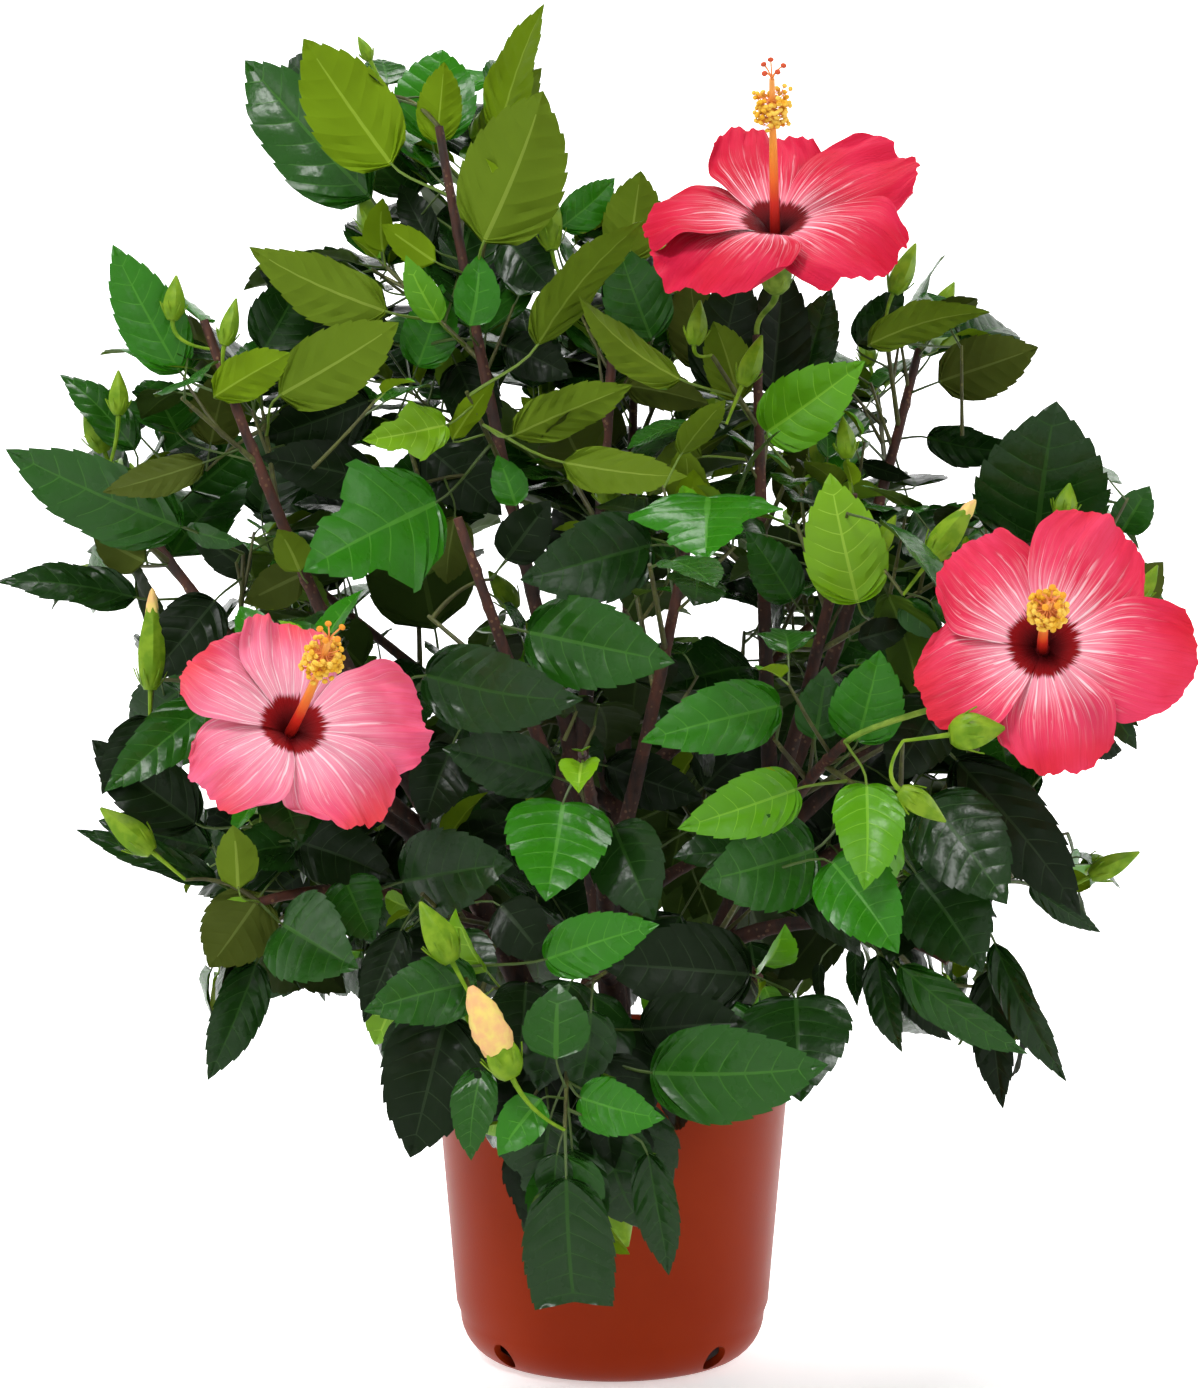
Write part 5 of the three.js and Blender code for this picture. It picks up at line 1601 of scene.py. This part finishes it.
def addSheet(skin, points, places, thickness, slot=0):  # a thin closed sheet over a grid of points
    rows, columns = points.shape[:2]
    du = np.gradient(points, axis=0)
    dv = np.gradient(points, axis=1)
    normal = np.cross(du, dv)
    normal /= np.linalg.norm(normal, axis=2)[..., None]
    top = points.reshape(-1, 3)
    below = (points - normal * thickness).reshape(-1, 3)
    number = np.arange(rows * columns).reshape(rows, columns)
    inner = np.zeros((rows, columns), bool)
    inner[1:-1, 1:-1] = True
    underNumber = number.copy()
    underNumber[inner] = rows * columns + np.arange(inner.sum())
    allPoints = np.concatenate([top, below[inner.ravel()]])
    allPlaces = np.concatenate([places.reshape(-1, 3), places[inner]])
    quads = gridFaces(rows, columns)
    flatUnder = underNumber.ravel()
    underQuads = flatUnder[quads][:, ::-1]
    slots = np.concatenate([np.full(len(quads), slot), np.full(len(quads), slot + 1)])
    skin.addQuads(allPoints, np.concatenate([quads, underQuads]), slots, allPlaces)


def petalFinish(name, look, underside=False):
    finish = Finish(name, {"Roughness": 0.6, "Specular IOR Level": 0.12})
    place = finish.meshPlace()
    along, across, fromAxis = finish.split(place)
    streak = finish.noise(1.0, 2.0, finish.stretch(place, (2.0, 13.0, 0.0)), 0.4)  # long as the petal grows
    fineStreak = finish.noise(1.0, 3.0, finish.stretch(place, (3.0, 44.0, 0.0)), 0.5)
    wobble = finish.noise(55.0, 3.0) - 0.5
    bends = finish.noise(24.0, 2.0) - 0.5
    lines = across * 4.6 + bends * 0.9 * along + streak * 0.7
    distance = finish.combine("PINGPONG", lines, 0.5)
    mainVein = finish.spread(distance * fromAxis, 0.01, 0.034, 1.0, 0.0)
    between = finish.combine("PINGPONG", lines * 2.3 + 0.3 + wobble * along, 0.5)
    sideVein = finish.spread(between * fromAxis, 0.015, 0.045, 1.0, 0.0)
    sideVein = sideVein * finish.spread(streak, 0.4, 0.6, 0.15, 0.7)
    vein = finish.combine("MAXIMUM", mainVein, sideVein)
    fade = finish.spread(fromAxis + (streak - 0.5) * 0.5, 0.3, look["veinReach"], 1.0, 0.0)
    blotch = finish.noise(30.0, 3.0)
    base = finish.mix(finish.spread(blotch, 0.35, 0.65), tint(*look["petal"]), tint(*look["petalLight"]))
    base = finish.mix(finish.spread(fineStreak, 0.35, 0.7, 0.0, 0.3), base, tint(*look["edge"]))
    edge = finish.spread(along, 0.6, 1.0) * finish.spread(finish.noise(16.0, 2.0), 0.42, 0.6)
    base = finish.mix(edge * look["edgeShare"], base, tint(*look["edge"]))
    halo = finish.spread(fromAxis + (streak - 0.5) * 0.35, 0.24, look["haloReach"], 1.0, 0.0) * look["halo"]
    base = finish.mix(halo, base, tint(*look["pale"]))
    fineFade = fade * finish.spread(fineStreak, 0.48, 0.66)
    streaks = finish.combine("MAXIMUM", vein * fade, fineFade * 0.35)
    base = finish.mix(streaks * look["veins"], base, tint(*look["vein"]))
    if not underside:
        reach = 0.255 + (streak - 0.5) * 0.12 + (fineStreak - 0.5) * 0.12
        eye = finish.spread(fromAxis - reach, -0.02, 0.02, 1.0, 0.0)
        deep = finish.spread(fromAxis, 0.07, 0.24, 0.0, 1.0)
        eyeColour = finish.mix(deep, tint(*look["throat"]), tint(*look["eye"]))
        base = finish.mix(eye, base, eyeColour)
    finish.feed("Base Color", base)
    ridges = vein * 0.8 + fineStreak * 0.9 + finish.noise(300.0, 3.0) * 0.3
    finish.feed("Normal", finish.bump(ridges, 0.5, 0.0006))
    return finish.material


bloomLooks = {
    "bloom_left": {
        "petal": (222, 78, 116), "petalLight": (232, 104, 140), "edge": (222, 66, 66), "edgeShare": 0.8,
        "pale": (232, 162, 180), "halo": 0.7, "haloReach": 0.95, "vein": (252, 226, 232), "veins": 0.75,
        "veinReach": 1.05, "eye": (134, 3, 8), "throat": (80, 2, 6), "pad": (236, 150, 50),
        "ruffle": 1.35, "recurve": 22, "spread": (11, -9, -4, 7, -5), "droop": (-0.1, 0.1, 0.2, 0.1, 0),
        "reach": (0.87, 0.92, 0.9, 0.97, 1.05), "breadth": (0.9, 0.94, 0.96, 0.94, 0.98), "rise": 2,
    },
    "bloom_right": {
        "petal": (214, 42, 76), "petalLight": (226, 64, 100), "edge": (210, 38, 48), "edgeShare": 0.7,
        "pale": (246, 168, 188), "halo": 0.65, "haloReach": 0.62, "vein": (254, 226, 232), "veins": 0.85,
        "veinReach": 0.88, "eye": (132, 3, 8), "throat": (66, 2, 6), "pad": (236, 160, 50),
        "ruffle": 0.9, "recurve": 21, "spread": (0, 0, 0, 0, 0), "droop": (0, 0.1, 0.1, 0, -0.1),
        "reach": (0.9, 0.93, 0.93, 1.04, 1.0), "breadth": (0.94, 0.96, 0.96, 1.0, 0.98), "rise": -5,
    },
    "bloom_top": {
        "petal": (192, 18, 50), "petalLight": (206, 34, 70), "edge": (194, 16, 42), "edgeShare": 0.4,
        "pale": (240, 140, 160), "halo": 0.55, "haloReach": 0.52, "vein": (252, 214, 222), "veins": 0.85,
        "veinReach": 0.86, "eye": (112, 2, 10), "throat": (64, 2, 8), "pad": (200, 84, 52),
        "ruffle": 1.05, "recurve": 22, "spread": (-5, 2, -8, 6, 3), "droop": (-0.5, 0.06, 0.35, 0.3, -0.4),
        "reach": (1.0, 0.96, 1.04, 1.0, 1.18), "breadth": (0.96, 1.08, 1.23, 1.14, 0.98), "rise": 0,
    },
}
columnFinish = Finish("pistilColumn", {"Roughness": 0.45})
columnStops = [(0.0, tint(140, 6, 10)), (0.2, tint(206, 40, 18)), (0.34, tint(230, 108, 26)),
               (0.55, tint(238, 152, 40)), (1.0, tint(240, 164, 84))]
columnFinish.feed("Base Color", columnFinish.add(
    "ShaderNodeValToRGB", {"stops": columnStops}, {"Fac": columnFinish.split(columnFinish.meshPlace())[0]}))
columnFinish.feed("Normal", columnFinish.bump(columnFinish.noise(600.0, 3.0), 0.25, 0.0003))
antherFinish = budFinish("pollenAnther", (230, 172, 40), (246, 206, 92), 0.75)
filamentFinish = plainStalk("filament", (238, 150, 80), 0.5)
throatFinish = budFinish("flowerThroat", (74, 2, 8), (92, 3, 10), 0.8)
calyxGreen = budFinish("calyxGreen", (98, 132, 42), (136, 164, 62), 0.5)


def addBall(skin, centre, axis, length, radius, slot, sides=8, rings=6):
    angles = np.linspace(0.12, math.pi - 0.12, rings)
    profile = [(-math.cos(a) * length / 2, math.sin(a) * radius) for a in angles]
    addTurned(skin, centre, axis, profile, sides, slot)


for number, bloom in enumerate(blooms):
    random = RandomStream(4000 + number)
    look = bloomLooks[bloom["name"]]
    bloom.update(look)
    petalSkin = Skin()
    for index in range(5):
        points, places = petalPoints(bloom, index, random)
        addSheet(petalSkin, points, places, petal["thickness"])
    petalFinishes = [petalFinish("petalTop_" + bloom["name"], look),
                     petalFinish("petalUnder_" + bloom["name"], look, underside=True)]
    petalSkin.build("petals_" + bloom["name"], petalFinishes, "petals", 60, [bloom["name"]], placed=True)

    axis, side, other, centre, size = bloomFrame(bloom)
    bend = side * random(-4, 4) + other * random(-4, 4)
    length = flower["column"]
    column = Curve(centre - axis * 14, centre + axis * length * 0.45 + bend,
                   centre + axis * length * 0.93 + up * look["rise"])
    pistil = Skin()
    addTube(pistil, column, 40, 12, lambda share, angles: flower["columnRadius"] * (1.35 - 0.65 * share)
            + 0.12 * np.cos(5 * angles), slot=0)
    anthers = 130
    for k in range(anthers):  # anthers on short stalks over the column's upper part
        t = 0.66 + 0.2 * (k / anthers) ** 0.85
        foot, along = column.at(t), column.tangent(t)
        out = around(*squareTo(along), k * goldenAngle + 0.3 * random())
        reach = random(5.5, 11.0)
        tip = foot + out * reach + along * reach * random(0.1, 0.6)
        addTube(pistil, Curve(foot, foot + out * reach * 0.6, tip), 4, 4, lambda share, angles: 0.28, slot=1)
        addBall(pistil, tip, unit(np.cross(out, along)), 3.4, 1.45, 2)
    top, along = column.at(1), column.tangent(1)
    for k in range(5):  # five branches end in round pads
        out = around(*squareTo(along), k * 2 * math.pi / 5 + random(-0.2, 0.2))
        tip = top + along * random(6.5, 9) + out * random(5, 7.5)
        branch = Curve(top - along * 2, top + along * 5 + out, tip)
        addTube(pistil, branch, 6, 5, lambda share, angles: 0.55, slot=1)
        addBall(pistil, tip, unit(along + out * 0.4), 2.8, 1.9, 3, 10, 7)
    pads = budFinish("stigmaPads_" + bloom["name"], look["pad"], look["pad"], 0.85)
    pistil.build("pistil_" + bloom["name"], [columnFinish.material, filamentFinish, antherFinish, pads],
                 "petals", 50, placed=True)

    green = Skin()
    throat = flower["throat"] * size

    def lobed(angles, distance):
        return 1 + 0.1 * np.cos(5 * angles) * smooth(-0.5 * throat, 0, distance)

    cup = [(-throat * share, radius * size) for share, radius in
           ((1.03, 2.0), (1.0, 5.0), (0.93, 8.2), (0.8, 9.6), (0.6, 9.8), (0.45, 9.4), (0.36, 9.2))]
    addTurned(green, centre, axis, cup, 30, 0, lobes=lobed)
    for k in range(5):  # the calyx's pointed lobes press against the petals
        out = petalDirection(side, other, bloom["turn"] + 36, k)
        foot = centre + axis * (-0.42 * throat) + out * 8.6 * size
        addBract(green, foot, out, axis, 13 * size, 4.4 * size, 0)
    for k in range(budShape["bracts"]):
        out = around(side, other, k * 2 * math.pi / budShape["bracts"])
        addBract(green, centre - axis * throat * 0.98 + out * 4 * size, out, axis, 15 * size, 1.2 * size, 0)
    core = [(-throat * 0.4, 8.6 * size), (-throat * 0.3, 6.5 * size), (-throat * 0.26, 4.0 * size)]
    addTurned(green, centre, axis, core, 20, 1)
    addTube(green, stalkCurve(bloom), 18, 9,
            lambda share, angles: flower["stalkRadius"] * (0.95 + 0.4 * share ** 3), slot=0)
    green.build("calyx_" + bloom["name"], [calyxGreen, throatFinish], "foliage", 50)
print("flowers built")


# The pot: a smooth turned shell with a rolled rim and drain holes, and the growing mix in it.

def potProfile():
    height, wall, lip, depth = pot["height"], pot["wall"], pot["lip"], pot["lipDepth"]
    rim, foot = wallRadius(height), pot["footRadius"]
    outer = [(0, 0), (pot["baseRadius"] - 6, 0), (pot["baseRadius"] - 1, 0.3)]
    for angle in np.linspace(0, math.pi / 2, 10):  # the rounded foot
        outer.append((pot["baseRadius"] + (foot - 2 - pot["baseRadius"]) * math.sin(angle) ** 1.1,
                      1 + (pot["footHeight"] - 2) * (1 - math.cos(angle)) ** 0.92))
    for z in np.linspace(pot["footHeight"] + 6, height - depth - 2, 16):
        outer.append((wallRadius(z), z))
    outer += [(wallRadius(height - depth), height - depth), (rim + lip * 0.7, height - depth + 0.8)]
    for angle in np.linspace(-1.2, 1.5, 8):
        outer.append((rim + lip * 0.2 + lip * 0.8 * math.cos(angle),
                      height - depth / 2 + depth * 0.45 * math.sin(angle)))
    outer += [(rim - wall + 0.8, height), (rim - wall, height - 1.2)]
    for z in np.linspace(height - 8, pot["footHeight"] + 2, 12):
        outer.append((wallRadius(z) - wall, z))
    outer += [(pot["footRadius"] - wall - 9, 14), (pot["baseRadius"] - 3, pot["floor"]), (0, pot["floor"])]
    return outer


def ringAt(radius, z, angles):
    x, y = radius * np.cos(angles), radius * np.sin(angles)
    return np.stack([x, y, np.full(len(angles), float(z))], axis=1)


def turnedMesh(name, profile, sides):  # a closed turned mesh whose profile starts and ends on the axis
    angles = np.arange(sides) * 2 * math.pi / sides
    points = [np.array([[0, 0, profile[0][1]]])]
    points += [ringAt(radius, z, angles) for radius, z in profile[1:-1]]
    points.append(np.array([[0, 0, profile[-1][1]]]))
    rings = len(profile) - 2
    faces = [list(quad) for quad in gridFaces(rings, sides, closed=True) + 1]
    last = 1 + rings * sides
    for i in range(sides):
        j = (i + 1) % sides
        faces.append([0, 1 + j, 1 + i])
        faces.append([last, last - sides + i, last - sides + j])
    mesh = bpy.data.meshes.new(name)
    mesh.from_pydata((np.concatenate(points) * mm).tolist(), [], faces)
    mesh.update()
    return mesh


potPiece = addObject("pot_shell", turnedMesh("pot", potProfile(), 160))
for k in range(pot["holes"]):
    turn = math.radians(pot["firstHole"] + k * 360 / pot["holes"])
    middle = (pot["footRadius"] - 6) * mm
    place = (middle * math.cos(turn), middle * math.sin(turn), pot["holeHeight"] * mm)
    bpy.ops.mesh.primitive_cylinder_add(
        vertices=40, radius=pot["holeRadius"] * mm, depth=0.04,
        location=place, rotation=(0, math.pi / 2, turn))
    cutter = bpy.context.object
    hole = potPiece.modifiers.new("hole", "BOOLEAN")
    hole.object, hole.operation, hole.solver = cutter, "DIFFERENCE", "EXACT"
    bpy.context.view_layer.objects.active = potPiece
    bpy.ops.object.modifier_apply(modifier="hole")
    bpy.data.objects.remove(cutter, do_unlink=True)
potPiece.data.polygons.foreach_set("use_smooth", np.ones(len(potPiece.data.polygons), bool))
potPiece.data.set_sharp_from_angle(angle=math.radians(35))

plastic = Finish("potPlastic", {"Roughness": 0.36, "Specular IOR Level": 0.08})
scuffs = plastic.noise(22.0, 4.0)
height = plastic.split(plastic.where())[2]
# The plastic is mottled, and its colour grows a little lighter from the foot towards the top.
patches = plastic.spread(scuffs, 0.3, 0.7) * 0.3 + plastic.spread(height, 0.02, 0.2) * 0.45
plastic.feed("Base Color", plastic.mix(patches, tint(138, 40, 9), tint(148, 49, 14)))
plastic.feed("Roughness", 0.28 + scuffs * 0.14 + plastic.noise(900.0, 2.0) * 0.04)
plastic.feed("Normal", plastic.bump(plastic.noise(700.0, 3.0) + scuffs * 2.0, 0.08, 0.0006))
potPiece.data.materials.append(plastic.material)
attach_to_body(potPiece, "root")
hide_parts("pot")

mixSkin = Skin()
soilRandom = np.random.default_rng(5)
rings, sides = 46, 150
radii = np.linspace(0.5, wallRadius(soil["top"]) - pot["wall"] - 0.8, rings)
angles = np.arange(sides) * 2 * math.pi / sides
heights = soil["top"] + soil["dome"] * (1 - smooth(0.55, 1.0, radii / radii[-1]))[:, None]
heights = heights - 3.2 + 2.6 * soilRandom.random((rings, sides))
surface = np.stack([radii[:, None] * np.cos(angles), radii[:, None] * np.sin(angles), heights], axis=2)
below = surface[-1] * ((radii[-1] - 5) / radii[-1])
below[:, 2] = soil["top"] - 40
lowest = below * np.array([0.5, 0.5, 1.0])
grid = np.concatenate([surface, below[None], lowest[None]])
mixSkin.add(grid.reshape(-1, 3), *tubeFaces(len(grid), sides), 0)
for k in range(520):  # bark chips and pale grains
    radius, turn = radii[-1] * 0.97 * math.sqrt(soilRandom.random()), soilRandom.random() * 6.283
    z = soil["top"] + soil["dome"] * (1 - smooth(0.55, 1.0, radius / radii[-1])) - 0.8
    centre = np.array([radius * math.cos(turn), radius * math.sin(turn), z])
    axis = unit(soilRandom.normal(size=3))
    pale = soilRandom.random() < 0.16
    size = soilRandom.uniform(1.0, 2.2) if pale else soilRandom.uniform(1.2, 3.2)
    long, thick, slot = (1.6, 0.8, 2) if pale else (3.2, 0.6, 1)
    addBall(mixSkin, centre, axis, size * long, size * thick, slot, 5, 4)
mixFinishes = [woodFinish("peat", (22, 16, 12), (52, 38, 28), (70, 56, 44), 0.95, 1.0),
               woodFinish("barkChip", (40, 26, 18), (86, 60, 40), (100, 80, 60), 0.9, 0.8),
               plainStalk("paleGrain", (188, 182, 170), 0.9)]
mixSkin.build("growing_mix", mixFinishes, "soil", 40, ["soil"])
print("pot and soil built")


# Stage: a pale floor that sweeps up into a pale wall, soft lights, and the camera.

stageShape = {"radius": 3.8, "bend": 1.2, "height": 4.0, "sides": 96}


def sweep():
    flat = stageShape["radius"] - stageShape["bend"]
    path = [(0.4 * flat, 0.0), (flat, 0.0)]
    for angle in np.linspace(0, math.pi / 2, 13)[1:]:
        path.append((flat + stageShape["bend"] * math.sin(angle), stageShape["bend"] * (1 - math.cos(angle))))
    path.append((stageShape["radius"], stageShape["height"]))
    angles = np.linspace(0, 2 * math.pi, stageShape["sides"], endpoint=False)
    points = np.concatenate([ringAt(radius, z, angles) for radius, z in path] + [np.zeros((1, 3))])
    sides = stageShape["sides"]
    faces = [[len(points) - 1, i, (i + 1) % sides] for i in range(sides)]
    for ring in range(len(path) - 1):
        for i in range(sides):
            after = (i + 1) % sides
            first = ring * sides
            faces.append([first + i, first + sides + i, first + sides + after, first + after])
    mesh = bpy.data.meshes.new("floor")
    mesh.from_pydata(points.tolist(), [], faces)
    mesh.polygons.foreach_set("use_smooth", np.ones(len(faces), bool))
    return mesh


floor = addObject("floor", sweep())
floorFinish = Finish("paleFloor", {
    "Base Color": (0.85, 0.85, 0.85, 1.0), "Roughness": 0.8, "Specular IOR Level": 0.0,
    "Emission Strength": 1.0,
})
# The floor and wall glow, faint in front of the plant and full white behind it. This glow is painted light:
# it lights the plant from behind, and under the plant it lightens the shadow on the floor.
across, back = floorFinish.split(floorFinish.where())[:2]
fromPot = floorFinish.combine("POWER", across * across + back * back, 0.5)
behind = floorFinish.spread((back + 0.16) / (fromPot + 0.35), -0.35, 0.85, 0.08, 1.0)
floorFinish.feed("Emission Color", floorFinish.mix(behind, (0.0, 0.0, 0.0, 1.0), (1.0, 1.0, 1.0, 1.0)))
floor.data.materials.append(floorFinish.material)

lights = [  # name, place, size, power, aims at
    ("key", (-0.9, -1.7, 2.3), 0.7, 34, (0, 0, 0.5)),
    ("fill", (1.5, -1.9, 1.3), 0.8, 5, (0, 0, 0.45)),
    ("top", (0.2, 0.2, 2.6), 0.9, 25, (0, 0, 0.5)),
    ("leftStrip", (-1.7, -0.4, 0.5), 0.4, 1.2, (0, 0, 0.2)),
    ("rightStrip", (1.7, -0.4, 0.5), 0.4, 1.2, (0, 0, 0.2)),
]
for name, place, size, power, aim in lights:
    data = bpy.data.lights.new(name, "AREA")
    data.shape, data.size, data.energy = "DISK", size, power
    lamp = addObject(name, data)
    lamp.location = place
    lamp.rotation_euler = (Vector(aim) - Vector(place)).to_track_quat("-Z", "Y").to_euler()

world = bpy.data.worlds.new("studio")
world.use_nodes = True
world.node_tree.nodes["Background"].inputs["Color"].default_value = (1, 1, 1, 1)
world.node_tree.nodes["Background"].inputs["Strength"].default_value = 0.06
bpy.context.scene.world = world
bpy.context.scene.view_settings.view_transform = "Standard"

lens = {"place": (-0.008, -1.7, 0.426), "focal": 68.1, "sensor": 36}
camera = addObject("camera", bpy.data.cameras.new("camera"))
camera.location = lens["place"]
camera.rotation_euler = (math.pi / 2, 0, 0)
camera.data.lens, camera.data.sensor_width = lens["focal"], lens["sensor"]
camera.data.clip_end = 60
bpy.context.scene.camera = camera

print("stage and camera set")
